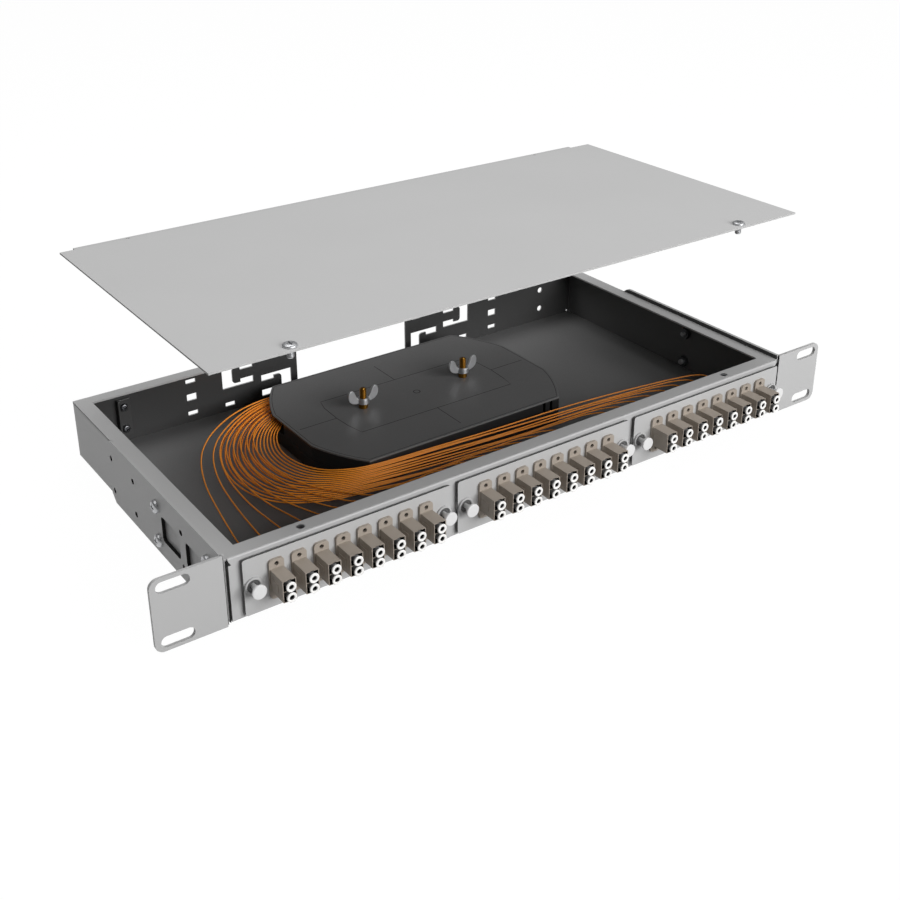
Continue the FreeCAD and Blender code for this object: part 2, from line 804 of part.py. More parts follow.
def make_front_row():
    """Plates, adapters, caps, plugs, grommets and plungers, three sets side by side."""
    pieces = []
    adapter, cap, rear_cap, plug = adapter_solid(), cap_solid(), rear_cap_solid(), plug_solid()
    grommet, plunger = grommet_solid(), plunger_solid()
    doc.recompute()
    ports = [(size("port_pitch") / 2 * level).number for level in (-1, 1)]
    for side, centre in zip(SIDES, plate_centres):
        pieces.append(make_adapter_plate(side, centre))
        spots = [(centre + adapter_offset(number)).number for number in range(8)]
        latches = [(centre + offset).number for offset in latch_offsets]
        pieces.append(group("adapters_" + side, *[moved(adapter, x) for x in spots]))
        level = plug_level.number
        caps = [moved(cap, x, 0, z) for x in spots for z in ports]
        caps += [moved(rear_cap, x, 0, -level) for x in spots]
        pieces.append(group("dust_caps_" + side, *caps))
        pieces.append(group("fibre_plugs_" + side, *[moved(plug, x, 0, level) for x in spots]))
        pieces.append(group("latch_grommets_" + side, *[moved(grommet, x) for x in latches]))
        for tag, x in zip("ab", latches):
            pieces.append(group("latch_plunger_%s_%s" % (side, tag), moved(plunger, x)))
    return pieces


def make_cover():
    """A flat lid sheet with a stepped-down tongue along its rear edge."""
    body = new_body("cover")
    low = tray_top + size("cover_lift")
    half = size("cover_width") / 2
    outline = sketch_on(body, "cover_outline", "XY_Plane", low)
    draw_rectangle(outline, (-half, 0), (half, size("cover_depth")))
    pad(body, "cover_sheet_metal", outline, size("cover_sheet"))
    tongue = sketch_on(body, "tongue_outline", "XY_Plane", low)
    reach = size("tongue_half")
    back = size("tray_depth") - size("rim_rear") - size("tongue_gap")
    overlap = size("cover_depth") - size("cover_sheet")
    draw_rectangle(tongue, (-reach, overlap), (reach, back))
    pad(body, "tongue_sheet_metal", tongue, size("cover_sheet"), reverse=True)
    edge = sketch_on(body, "cover_notches", "XY_Plane", low)
    for side in (-1, 1):
        x = size("cover_screw_x") * side
        wide = size("hook_width") / 2
        draw_rectangle(edge, (x - wide, back - size("cover_sheet")), (x + wide, back + 1))
    pocket(body, "cover_notch_cut", edge, size("cover_sheet") * 4, both=True)
    holes = sketch_on(body, "cover_holes", "XY_Plane", low)
    for side in (-1, 1):
        spot = (size("cover_screw_x") * side, size("cover_screw_y"))
        draw_round_hole(holes, spot, size("cover_hole"), 12)
    pocket(body, "cover_bores", holes, size("cover_sheet") * 4, both=True)
    return body


def make_cover_screw(side, sign):
    """A domed-head screw that stays in the cover."""
    seat = tray_top + size("cover_lift") + size("cover_sheet") + size("nut_lift")
    head, thick = size("screw_head"), size("screw_head_thick")
    shank, end = size("screw_radius"), seat - size("cover_screw_length")
    shape = turned("z", [
        (end, shank - 0.4), (end + 0.4, shank), (seat, shank), (seat, head),
        (seat + thick * 0.4, head), (seat + thick * 0.9, head * 0.7), (seat + thick, head * 0.3),
    ])
    x, y = (size("cover_screw_x") * sign).number, size("cover_screw_y").number
    return group("cover_screw_" + side, moved(shape, x, y))


def make_rivet_nuts():
    """Threaded inserts under the front rim that take the cover screws."""
    under = tray_top - size("tray_sheet")
    base = under - size("rivet_nut_length")
    wall = turned("z", [(base, size("rivet_nut_radius")), (under, size("rivet_nut_radius"))])
    bush = wall.cut(turned("z", [(base - 1, size("cover_hole")), (under + 1, size("cover_hole"))],
                           hole=True))
    x, y = size("cover_screw_x").number, size("cover_screw_y").number
    return group("cover_rivet_nuts", moved(bush, -x, y), moved(bush, x, y))


def make_ear_fasteners():
    """Pan screws through ear flange and tray wall, and hexagon nuts inside."""
    shank, head, dome = size("screw_radius"), size("screw_head"), size("screw_head_thick")
    tip, inside = flange_outside - size("ear_screw_length"), wall_inside
    screw = turned("x", [(tip, shank), (flange_outside, shank), (flange_outside, head),
                         (flange_outside + dome * 0.4, head), (flange_outside + dome, head * 0.5)])
    nut = turned("x", [(inside - size("nut_thick"), size("nut_flats") / math.sqrt(3)),
                       (inside, size("nut_flats") / math.sqrt(3))], 6)
    nut = nut.cut(turned("x", [(tip, shank + size("nut_fit")), (inside + 1, shank + size("nut_fit"))],
                         8, hole=True))
    screws, nuts = [], []
    for y in screw_stations:
        for z in (hole_low, hole_high):
            screws.append(moved(screw, 0, y.number, z.number))
            nuts.append(moved(nut, 0, y.number, z.number))
    across = [FreeCAD.Vector(), FreeCAD.Vector(1, 0, 0)]
    screws += [piece.mirror(*across) for piece in screws]
    nuts += [piece.mirror(*across) for piece in nuts]
    return [group("ear_screws", *screws), group("ear_nuts", *nuts)]


cassette_middle = size("cassette_front") + size("cassette_depth") / 2
tray_one_low = floor_top
tray_two_low = tray_one_low + size("cassette_height")
lid_low = tray_two_low + size("cassette_height")
lid_top = lid_low + size("lid_thick")


def cassette_outline(inset=0.0):
    """A long lozenge: straight front and rear edges, ends drawn as arcs between short shoulders."""
    inset = as_size(inset).number
    half = size("cassette_half").number - inset
    flat = size("cassette_flat").number - inset * 0.4
    front = size("cassette_front").number + inset
    back = front + size("cassette_depth").number - inset * 2
    shoulder = size("cassette_shoulder").number - inset * 0.4
    bulge = size("cassette_bulge").number

    def corner(start, end, out_x, out_y):
        middle = (start + end) / 2
        away = FreeCAD.Vector(out_x, out_y, 0).normalize() * bulge
        return Part.Arc(start, middle + away, end).toShape()

    vector = FreeCAD.Vector
    spots = [
        vector(flat, front, 0), vector(half, front + shoulder, 0),
        vector(half, back - shoulder, 0), vector(flat, back, 0),
        vector(-flat, back, 0), vector(-half, back - shoulder, 0),
        vector(-half, front + shoulder, 0), vector(-flat, front, 0),
    ]
    edges = [
        corner(spots[0], spots[1], 1, -0.6), Part.LineSegment(spots[1], spots[2]).toShape(),
        corner(spots[2], spots[3], 1, 0.6), Part.LineSegment(spots[3], spots[4]).toShape(),
        corner(spots[4], spots[5], -1, 0.6), Part.LineSegment(spots[5], spots[6]).toShape(),
        corner(spots[6], spots[7], -1, -0.6), Part.LineSegment(spots[7], spots[0]).toShape(),
    ]
    return Part.Face(Part.Wire(edges))


def slab(low, height, inset=0.0):
    face = cassette_outline(inset)
    face.translate(FreeCAD.Vector(0, 0, as_size(low).number))
    return face.extrude(FreeCAD.Vector(0, 0, as_size(height).number))


def bar(low, high):
    """A plain block between two corners, for cutting and fusing shapes."""
    low = [as_size(value).number for value in low]
    high = [as_size(value).number for value in high]
    spans = [end - start for start, end in zip(low, high)]
    return Part.makeBox(*spans, FreeCAD.Vector(*low))


def post(x, y, low, radius, height, hole=False):
    shape = turned("z", [(low, radius), (as_size(low) + height, radius)], 12, hole)
    return moved(shape, as_size(x).number, as_size(y).number)


def cassette_tray(name, low, exits):
    """One splice tray: a shallow dish with two hollow posts and fibre exits in its end walls."""
    height, wall, base = size("cassette_height"), size("cassette_wall"), size("cassette_floor")
    shape = slab(low, height).cut(slab(low + base, height, wall))
    for side in (-1, 1):
        x, y = size("stud_x") * side, cassette_middle
        shape = shape.fuse(post(x, y, low, size("stud_post"), height))
    for side in (-1, 1):
        x, y = size("stud_x") * side, cassette_middle
        bore = size("stud_radius") + size("stud_fit")
        shape = shape.cut(post(x, y, low - 1, bore, height + 2, True))
    for exit_low, exit_high in exits:
        shape = shape.cut(bar(exit_low, exit_high))
    item = doc.addObject("Part::Feature", name)
    item.Shape = shape.removeSplitter()
    return item


def make_cassette():
    """Two splice trays under a flat lid, with splice holders inside, on two studs."""
    half = size("cassette_half")
    exit_floor = tray_two_low + size("cassette_floor")
    fan_exit = ((-half - 1, size("exit_front"), exit_floor), (-size("exit_inner"), size("exit_rear"), lid_low + 1))
    slots = []
    for x in (size("relief_first"), size("relief_first") + size("relief_pitch")):
        wide = size("relief_width") / 2
        slots.append(((x - wide, size("cassette_front") - 1, exit_floor),
                      (x + wide, size("cassette_front") + size("cassette_wall") + 1, lid_low + 1)))
    lower = cassette_tray("splice_tray_lower", tray_one_low, [])
    upper = cassette_tray("splice_tray_upper", tray_two_low, [fan_exit] + slots)
    lid = slab(lid_low, size("lid_thick"))
    for side in (-1, 1):
        hole = size("stud_radius") + size("stud_fit")
        lid = lid.cut(post(size("stud_x") * side, cassette_middle, lid_low - 1, hole, 5, True))
    lid_item = doc.addObject("Part::Feature", "cassette_lid")
    lid_item.Shape = lid
    return [lower, upper, lid_item] + make_splices()


def make_splices():
    """A comb of ribs in each tray that holds the splice sleeves side by side."""
    holders, sleeves = [], []
    rows = 12
    pitch, radius = size("sleeve_pitch").number, size("sleeve_radius").number
    length, reach = size("sleeve_length").number, size("holder_length").number
    rib = size("holder_rib").number
    front = cassette_middle.number - pitch * rows / 2
    for low in (tray_one_low, tray_two_low):
        base = (low + size("cassette_floor")).number
        foot = bar((-reach / 2, front - rib, base), (reach / 2, front + pitch * rows + rib, base + rib))
        for step in range(rows + 1):
            y = front + pitch * step
            rib_bar = bar((-reach / 2, y - rib / 2, base + rib / 2), (reach / 2, y + rib / 2, base + radius * 2))
            foot = foot.fuse(rib_bar)
        holders.append(foot.removeSplitter())
        for step in range(rows):
            sleeve = turned("x", [(-length / 2, radius), (length / 2, radius)], 6)
            sleeves.append(moved(sleeve, 0, front + pitch * (step + 0.5), base + rib + radius))
    return [group("splice_holders", *holders), group("splice_sleeves", *sleeves)]


def make_studs():
    """Brass studs pressed into the floor, with a collar on the lid, and the wing nuts over them."""
    pieces = []
    for side, sign in (("left", -1), ("right", 1)):
        x, y = (size("stud_x") * sign).number, cassette_middle.number
        tip = lid_top + size("stud_top")
        shank, collar_top = size("stud_radius"), lid_top + size("collar_height")
        stud = turned("z", [(floor_top, shank), (lid_top, shank), (lid_top, size("collar_radius")),
                            (collar_top, size("collar_radius")), (collar_top, shank),
                            (tip - 0.5, shank), (tip, shank - 0.5)])
        pieces.append(group("cassette_stud_" + side, moved(stud, x, y)))
        pieces.append(make_wing_nut(side, size("stud_x") * sign))
    return pieces


def make_wing_nut(side, x):
    """A turned hub with two rising wings."""
    seat = lid_top + size("collar_height") + size("nut_lift")
    hub, rise = size("wing_hub"), size("wing_hub_height")
    reach, top = size("wing_reach"), seat + size("wing_rise")
    right_wing = [
        (reach * 0.75, seat + size("wing_rise") * 0.3), (reach, seat + size("wing_rise") * 0.55),
        (reach * 0.97, seat + size("wing_rise") * 0.85), (reach * 0.8, top),
        (reach * 0.6, seat + size("wing_rise") * 0.92), (reach * 0.44, seat + size("wing_rise") * 0.6),
        (hub * 0.8, seat + rise - 0.6),
    ]
    body = new_body("wing_blades_" + side)
    wings = sketch_on(body, "wing_profile_" + side, "XZ_Plane", -size("wing_thick") / 2)
    left_wing = [(place * -1, level) for place, level in reversed(right_wing)]
    draw_loop(wings, [(hub * -0.6, seat + 0.6), (hub * 0.6, seat + 0.6)] + right_wing + left_wing)
    pad(body, "wing_sheet_" + side, wings, size("wing_thick"))
    core = turned("z", [(seat, hub), (seat + rise, hub * 0.85)])
    bore = size("stud_radius") + size("stud_fit")
    hole = turned("z", [(seat - 1, bore), (top, bore)], hole=True)
    shape = core.fuse(body.Shape).cut(hole)
    return group("wing_nut_" + side, moved(shape, x.number, cassette_middle.number))


def make_cable_clamp():
    """A small lipped plate on the rear wall for a cable's strength member, and its two screws."""
    x = -size("clamp_x")
    low = tray_low + size("clamp_low_z") + size("clamp_spacing") / 2 - size("clamp_height") / 2
    half, sheet_thick = size("clamp_width") / 2, size("clamp_sheet")
    face = rear_inside - sheet_thick
    base = box("clamp_base", (x - half, face, low), (x + half, rear_inside, low + size("clamp_height")))
    lip = box("clamp_lip", (x - half, rear_inside - size("clamp_lip"), low),
              (x - half + sheet_thick, rear_inside, low + size("clamp_height")))
    radius, head = size("small_screw_radius"), size("small_head_radius")
    hole = turned("y", [(face - 1, radius + size("screw_fit") / 2),
                        (rear_inside + 1, radius + size("screw_fit") / 2)], 8, hole=True)
    screw = turned("y", [(face - size("small_head_thick"), head * 0.6), (face, head), (face, radius),
                         (size("tray_depth") + 1, radius)], 8)
    doc.recompute()
    plate = base.Shape.fuse(lip.Shape)
    screws = []
    for level in (0, size("clamp_spacing")):
        z = (tray_low + size("clamp_low_z") + level).number
        plate = plate.cut(moved(hole, x.number, 0, z))
        screws.append(moved(screw, x.number, 0, z))
    return [group("cable_clamp", plate.removeSplitter()), group("cable_clamp_screws", *screws)]


# Fibres: tight-buffered tubes laid as straight runs joined by arcs

def blend(first, second, share):
    return [a + (b - a) * share for a, b in zip(first, second)]


def tube(points, radius):
    """A thin four-sided tube, as thick as the round one, along straight runs joined by arcs."""
    spots = [FreeCAD.Vector(*point) for point in points]
    edges, radii = [], []
    start = spots[0]
    for before, here, after in zip(spots, spots[1:], spots[2:]):
        back, ahead = before - here, after - here
        trim = 0.45 * min(back.Length, ahead.Length)
        turn = math.pi - back.getAngle(ahead)
        radii.append(trim / math.tan(turn / 2))
        enter = here + back.normalize() * trim
        leave = here + ahead.normalize() * trim
        inward = ((enter + leave) / 2 - here).normalize()
        middle = here + inward * radii[-1] * (1 / math.cos(turn / 2) - 1)
        edges.append(Part.LineSegment(start, enter).toShape())
        edges.append(Part.Arc(enter, middle, leave).toShape())
        start = leave
    edges.append(Part.LineSegment(start, spots[-1]).toShape())
    path = Part.Wire(edges)
    ahead = (spots[1] - spots[0]).normalize()
    across = ahead.cross(ALONG_Z).normalize() * radius * math.sqrt(math.pi / 2)
    above = across.cross(ahead)
    corners = [spots[0] + side for side in (across, above, -across, -above)]
    solid = path.makePipeShell([Part.makePolygon(corners + corners[:1])], True, False)
    wanted = math.pi * radius * radius * path.Length
    if abs(solid.Volume - wanted) > 0.02 * wanted:
        raise ValueError("a fibre's volume is wrong")
    return solid, min(radii), path.Length


def fan_start(share):
    """Where a fibre starts inside the upper splice tray, and where it passes the tray's edge."""
    inside = blend((-69, 184), (-82, 155.5), share)
    return [inside, (-83 - 7 * share ** 0.7, 186.5 - 37 * share)]


# The way of four of the eight fibres that go straight to the left plate, seen from above
LEFT_GUIDES = {
    0: (0.0, [(-116, 177), (-146.5, 150), (-162.5, 112), (-170, 72), (-174.6, 44)]),
    1: (0.06, [(-112, 173), (-140, 147.5), (-154, 112), (-159.5, 74), (-161.9, 44)]),
    3: (0.2, [(-110, 168), (-132.5, 146), (-143, 113), (-144.5, 75), (-137.6, 44.5)]),
    7: (0.6, [(-105, 155.5), (-118, 137), (-123, 107.5), (-116.5, 74), (-95.5, 45.5)]),
}
LEFT_LEVELS = [-3.4, -3.2, -3.6, -4.0, -4.1, -3.9, -3.5]

# The way of the outermost and the innermost of the sixteen that turn right along the front
TURNING_GUIDES = [
    [(-115, 169), (-139, 141), (-148.5, 105), (-141, 70.5), (-114, 53), (-88, 48.3)],
    [(-100.5, 139), (-107, 120), (-105.5, 102), (-98.5, 86.5), (-86.5, 75), (-71.5, 69.2)],
]
TURNING_LEVELS = [-4.9, -4.7, -5.3, -5.8, -5.9, -5.7]


def port_x(plate, number):
    return (plate_centres[plate] + adapter_offset(number)).number


def left_route(number):
    """A fibre of the left plate: across the tray above the others and straight into its plug."""
    marks = sorted(LEFT_GUIDES)
    low = max(mark for mark in marks if mark <= number)
    high = min(mark for mark in marks if mark >= number)
    part = 0 if low == high else (number - low) / (high - low)
    share = LEFT_GUIDES[low][0] + (LEFT_GUIDES[high][0] - LEFT_GUIDES[low][0]) * part
    way = [blend(a, b, part) for a, b in zip(LEFT_GUIDES[low][1], LEFT_GUIDES[high][1])]
    points = [(x, y, z) for (x, y), z in zip(fan_start(share) + way, LEFT_LEVELS)]
    x, y, z = port_x(0, number), plug_end.number, plug_level.number
    points.append((x + 0.28 * (points[-1][0] - x), y + 9, z - 0.1))
    return points + [(x, y + 4, z), (x, y, z)]


def turning_route(number):
    """A fibre that runs along the front in a flat ribbon and leaves it at its own port."""
    share = number / 15
    way = [blend(a, b, share) for a, b in zip(*TURNING_GUIDES)]
    levels = TURNING_LEVELS + [-5.4 + 1.4 * share, -5.2 + 2.0 * share]
    points = [(x, y, z) for (x, y), z in zip(fan_start(0.09 + 0.91 * share) + way, levels)]
    leaves = [port_x(1 + step // 8, step % 8) - 18 for step in range(16)]
    begin, end = points[-1][0], leaves[number]
    gaps = [21, 38, 56, 56, 56, 56]
    while sum(gaps[:-1]) >= end - begin:
        gaps.pop()
    scale = (end - begin) / sum(gaps)
    stops = [end - scale * sum(gaps[:count]) for count in range(len(gaps) - 1, -1, -1)]
    height = points[-1][2]
    for stop in stops:
        along = (stop - begin) / (end - begin)
        level = height + (plug_level.number - height) * along - 1.3 * math.sin(math.pi * along)
        points.append((stop, ribbon_y(leaves, number, stop), level))
    x, y, z = port_x(1 + number // 8, number % 8), plug_end.number, plug_level.number
    front = points[-1][1]
    points.append((x - 7, front - 2.8, z - 0.2))
    points.append((x - 1.5, front - 7.5, z - 0.1))
    return points + [(x, y + 4, z), (x, y, z)]


def ribbon_y(leaves, number, x):
    """Depth of a fibre in the ribbon, which moves forward as fibres leave it."""
    base = 47.5 - 2 * min(1, max(0, (x - 30) / 40))
    if x <= leaves[0]:
        return base + 1.45 * number
    gone = max(step for step in range(16) if leaves[step] <= x + 0.001)
    if gone < 15:
        gone += (x - leaves[gone]) / (leaves[gone + 1] - leaves[gone])
    return base + 1.45 * (number - gone)


def make_fibres():
    """Eight fibres to each plate, from the cassette's left rear corner to the plugs."""
    pieces = []
    for side, routes in (
        ("left", [left_route(number) for number in range(8)]),
        ("centre", [turning_route(number) for number in range(8)]),
        ("right", [turning_route(number) for number in range(8, 16)]),
    ):
        tubes = [tube(route, size("fibre_radius").number) for route in routes]
        pieces.append(group("fibres_" + side, *[solid for solid, radius, length in tubes]))
        print("fibres_%s: least radius %.1f, lengths %s" % (
            side, min(radius for solid, radius, length in tubes),
            " ".join("%.0f" % length for solid, radius, length in tubes)))
    return pieces


def check_and_export(pieces):
    doc.recompute()
    for item in doc.Objects:
        if "Invalid" in item.State or "Error" in item.State:
            raise ValueError("%s did not build" % item.Label)
    os.makedirs("parts", exist_ok=True)
    for piece in pieces:
        shape = piece.Shape
        if shape.isNull() or not shape.isValid() or not shape.Solids:
            raise ValueError("%s has no valid shape" % piece.Label)
        shape.exportStep("parts/%s.step" % piece.Label)
        print("%-24s solids %3d  volume %10.1f" % (piece.Label, len(shape.Solids), shape.Volume))


ear = make_rack_ear()
pieces = [make_tray(), make_front_panel(), ear, mirrored("rack_ear_right", ear)]
pieces += make_ear_fasteners()
pieces += make_front_row()
pieces += [make_cover(), make_cover_screw("left", -1), make_cover_screw("right", 1)]
pieces += [make_rivet_nuts()]
pieces += make_cassette()
pieces += make_studs()
pieces += make_cable_clamp()
pieces += make_fibres()
check_and_export(pieces)
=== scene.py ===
import math

import bmesh
import bpy
from mathutils import Matrix, Vector


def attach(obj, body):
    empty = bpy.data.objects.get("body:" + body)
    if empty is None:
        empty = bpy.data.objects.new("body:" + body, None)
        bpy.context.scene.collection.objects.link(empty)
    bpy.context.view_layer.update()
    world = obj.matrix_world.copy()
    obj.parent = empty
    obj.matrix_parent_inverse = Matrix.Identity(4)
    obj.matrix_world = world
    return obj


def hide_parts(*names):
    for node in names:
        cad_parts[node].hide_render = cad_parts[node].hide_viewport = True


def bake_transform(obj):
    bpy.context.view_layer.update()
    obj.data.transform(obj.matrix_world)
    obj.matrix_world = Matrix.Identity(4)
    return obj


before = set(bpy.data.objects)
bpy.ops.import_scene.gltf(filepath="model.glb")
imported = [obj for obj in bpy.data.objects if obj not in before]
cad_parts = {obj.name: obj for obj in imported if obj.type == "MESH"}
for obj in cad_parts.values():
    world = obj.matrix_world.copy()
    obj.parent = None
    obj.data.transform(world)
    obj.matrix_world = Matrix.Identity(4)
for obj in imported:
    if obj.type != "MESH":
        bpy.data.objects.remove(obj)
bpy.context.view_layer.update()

# A rack patch panel for optical fibres. Sizes are in millimetres: X to the right as the photograph
# shows it, Y to the rear from the front panel's face, and Z up from the middle of the ears.
MM = 0.001

EAR_LOW, EAR_HIGH = -21.2, 21.2
EAR_ROOT, EAR_TIP = 202.2, 241.3
EAR_SHEET = 2.0
EAR_CORNER = 5
EAR_SLOT_X = 229
EAR_SLOTS_Z = (-15.875, 15.875)
FLANGE_FACE = 203.2
FLANGE_REAR = 151.6
FLANGE_ROWS = (-12.8, 9.0)
SCREWED_HOLES = [(y, z) for y in (17.2, 81.9) for z in FLANGE_ROWS]
BARE_HOLES = [(y, z) for y in (49.55, 114.25, 146.6) for z in FLANGE_ROWS]

TRAY_LOW, TRAY_HIGH = -19.6, 18.5
TRAY_SHEET = 1.2
TRAY_REAR = 212
HALF_TRAY = 201.2
HALF_PAN = 201.1
PAN_MIDDLE, PAN_DEEP = 106.5, 210.8
WALL_MIDDLE, WALL_TALL = -0.6, 37.8
CLAMP_SCREW_X = 170.3
CLAMP_SCREWS_Z = (-8.8, 6.4)

COVER_SHEET = 1.0
COVER_LOW = TRAY_HIGH + 101.23
COVER_DEEP = 197.6
COVER_SCREWS_X = (-155.5, 155.5)
COVER_SCREW_Y = 5.4
COVER_HOLE = 2.4

PLATE_X = {"left": -129.8, "centre": 2.2, "right": 134.2}
PLATE_FRONT, PLATE_REAR = -2.7, -1.5
LATCH_X = (-58.6, 58.6)
ADAPTERS = 8
ADAPTER_PITCH = 13.1
ADAPTER_SHIFT = 0.4
ADAPTER_FACE, ADAPTER_REAR = -17.3, 11.5
PORT_Z = (-3.125, 3.125)
PORT_WIDE, PORT_TALL = 6.9, 5.9
PORT_DEEP = 8.8
BOOT_END = 29.5

STUD_X = (-39.5, 39.5)
STUD_Y = 132.4
LID_TOP = -0.4
THREAD_PITCH = 0.7
FIBRE_RADIUS = 0.45


def adapter_x(number):
    """Where an adapter stands, seen from its plate's middle."""
    return ADAPTER_SHIFT + ADAPTER_PITCH * (number - (ADAPTERS - 1) / 2)


# Camera at the photograph's viewpoint, in metres
CAMERA_SPOT = Vector((-0.4113, -0.4893, 0.3715))
CAMERA_RIGHT = Vector((0.81832, -0.57476, -0.00262))
CAMERA_AHEAD = Vector((0.52279, 0.74621, -0.41213))

camera = bpy.data.objects.new("camera", bpy.data.cameras.new("camera"))
bpy.context.scene.collection.objects.link(camera)
right = CAMERA_RIGHT.normalized()
ahead = CAMERA_AHEAD.normalized()
above = right.cross(ahead)
camera.matrix_world = Matrix((
    (right.x, above.x, -ahead.x, CAMERA_SPOT.x),
    (right.y, above.y, -ahead.y, CAMERA_SPOT.y),
    (right.z, above.z, -ahead.z, CAMERA_SPOT.z),
    (0, 0, 0, 1),
))
camera.data.sensor_width = 36
camera.data.lens = 50.27
camera.data.shift_x = 0.0065
camera.data.shift_y = -0.1184
camera.data.clip_start = 0.01
bpy.context.scene.camera = camera
bpy.context.scene.view_settings.view_transform = "Standard"


# Materials

def linear(value):
    """A screen value from 0 to 255 as linear light."""
    value /= 255
    return value / 12.92 if value <= 0.04045 else ((value + 0.055) / 1.055) ** 2.4


def rgb(*values):
    """A colour from three screen values, or a grey from one."""
    values = values * 3 if len(values) == 1 else values
    return tuple(linear(value) for value in values) + (1,)


def material(name, colour, rough, grain, bump, spread, metal=0.0, **sockets):
    """A procedural surface: fine grain in bump and roughness, and slow changes of tone."""
    made = bpy.data.materials.new(name)
    made.use_nodes = True
    nodes, links = made.node_tree.nodes, made.node_tree.links
    shader = nodes["Principled BSDF"]
    shader.inputs["Metallic"].default_value = metal
    for socket, value in sockets.items():
        shader.inputs[socket.replace("_", " ")].default_value = value
    place = nodes.new("ShaderNodeTexCoord")
    slow = nodes.new("ShaderNodeTexNoise")
    slow.inputs["Scale"].default_value = 14
    slow.inputs["Detail"].default_value = 4
    links.new(place.outputs["Object"], slow.inputs["Vector"])
    ramp = nodes.new("ShaderNodeValToRGB")
    ramp.color_ramp.elements[0].position = 0.3
    ramp.color_ramp.elements[1].position = 0.7
    ramp.color_ramp.elements[0].color = tuple(c * (1 - spread) for c in colour[:3]) + (1,)
    ramp.color_ramp.elements[1].color = tuple(min(1, c * (1 + spread)) for c in colour[:3]) + (1,)
    links.new(slow.outputs["Fac"], ramp.inputs["Fac"])
    links.new(ramp.outputs["Color"], shader.inputs["Base Color"])
    fine = nodes.new("ShaderNodeTexNoise")
    fine.inputs["Scale"].default_value = grain
    fine.inputs["Detail"].default_value = 3
    links.new(place.outputs["Object"], fine.inputs["Vector"])
    spans = nodes.new("ShaderNodeMapRange")
    spans.inputs["From Min"].default_value = 0.3
    spans.inputs["From Max"].default_value = 0.7
    spans.inputs["To Min"].default_value = max(0, rough - 0.06)
    spans.inputs["To Max"].default_value = min(1, rough + 0.06)
    links.new(fine.outputs["Fac"], spans.inputs["Value"])
    links.new(spans.outputs["Result"], shader.inputs["Roughness"])
    relief = nodes.new("ShaderNodeBump")
    relief.inputs["Strength"].default_value = bump
    relief.inputs["Distance"].default_value = 0.0004
    links.new(fine.outputs["Fac"], relief.inputs["Height"])
    links.new(relief.outputs["Normal"], shader.inputs["Normal"])
    return made


COAT = material("powder_coat", rgb(186), 0.42, grain=1400, bump=0.10, spread=0.02)
COAT_TOP = material("powder_coat_cover", rgb(190), 0.85, grain=1400, bump=0.05, spread=0.01,
                    Specular_IOR_Level=0.1)
# Painted shade: darker copies of the powder coat, for faces inside the tray and the inner faces of the
# ear flanges
COAT_PAINTED_SHADE = material("powder_coat_painted_shade", rgb(104), 0.5, grain=1400, bump=0.10, spread=0.05)
COAT_PAINTED_DEEP_SHADE = material("powder_coat_painted_deep_shade", rgb(60), 0.4, grain=1400, bump=0.10, spread=0.06)
EDGE_DARK = material("sheet_edge_shade", rgb(84), 0.5, grain=1800, bump=0.05, spread=0.03)
ZINC = material("zinc_plate", rgb(205, 206, 208), 0.38, metal=1.0, grain=2500, bump=0.05, spread=0.06)
ZINC_DARK = material("zinc_shade", rgb(120, 121, 124), 0.35, metal=1.0, grain=2500, bump=0.05,
                     spread=0.1)
ZINC_MATT = material("zinc_matt", rgb(192, 193, 195), 0.42, metal=0.8, grain=2500, bump=0.05,
                     spread=0.06)
BRASS = material("brass", rgb(150, 108, 42), 0.35, metal=1.0, grain=2500, bump=0.04, spread=0.08)
BEIGE = material("beige_plastic", rgb(163, 153, 142), 0.5, grain=2200, bump=0.05, spread=0.03)
WHITE = material("cap_plastic", rgb(253, 252, 250), 0.4, grain=2600, bump=0.03, spread=0.01)
NYLON = material("latch_nylon", rgb(226, 226, 226), 0.32, grain=2600, bump=0.03, spread=0.02)
# Painted shade: a grey copy of the cap plastic for the stems of the dust caps
CAP_STEM_SHADE = material("cap_stem_painted_shade", rgb(150, 150, 150), 0.4, grain=2600, bump=0.03, spread=0.04)
# Painted shadow: black for holes, gaps, port insides and grooves, where only shade falls
PAINTED_SHADOW = material("shadow_black", rgb(8), 0.9, grain=2600, bump=0.02, spread=0.1)
BLACK = material("cassette_black", rgb(30), 0.4, grain=1800, bump=0.06, spread=0.1)
LID = material("cassette_lid_black", rgb(98), 0.5, grain=1500, bump=0.08, spread=0.05)
CLEAR = material("sleeve_plastic", rgb(225, 222, 210), 0.2, grain=2600, bump=0.02, spread=0.04)
FIBRE = material("fibre_buffer", rgb(240, 146, 42), 0.45, grain=3000, bump=0.04, spread=0.08)
CLAMP = material("clamp_steel", rgb(74), 0.4, metal=0.3, grain=2500, bump=0.05, spread=0.08)


# Edges sharper than this stay sharp, and points nearer than this, in metres, become one
SMOOTH_ANGLE = math.radians(25)
MERGE = 2e-6


# Pieces and meshes

def flat_normals(item):
    """Gives large flat faces their own normals, so that only the rounded edges shade round."""
    change = item.modifiers.new("normals", "WEIGHTED_NORMAL")
    change.keep_sharp = True
    change.weight = 100
    graph = bpy.context.evaluated_depsgraph_get()
    data = bpy.data.meshes.new_from_object(item.evaluated_get(graph), preserve_all_data_layers=True,
                                           depsgraph=graph)
    item.modifiers.remove(change)
    item.data = data


def new_piece(name, mesh, paint, body, *nodes):
    """Makes an object of a bmesh, paints it, hands it to its body and hides the CAD nodes it stands for.
    """
    data = bpy.data.meshes.new(name)
    bmesh.ops.recalc_face_normals(mesh, faces=mesh.faces)
    mesh.to_mesh(data)
    mesh.free()
    for each in paint if isinstance(paint, list) else [paint]:
        data.materials.append(each)
    data.shade_smooth()
    data.set_sharp_from_angle(angle=SMOOTH_ANGLE)
    item = bpy.data.objects.new(name, data)
    bpy.context.scene.collection.objects.link(item)
    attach(item, body)
    flat_normals(item)
    if nodes:
        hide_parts(*nodes)


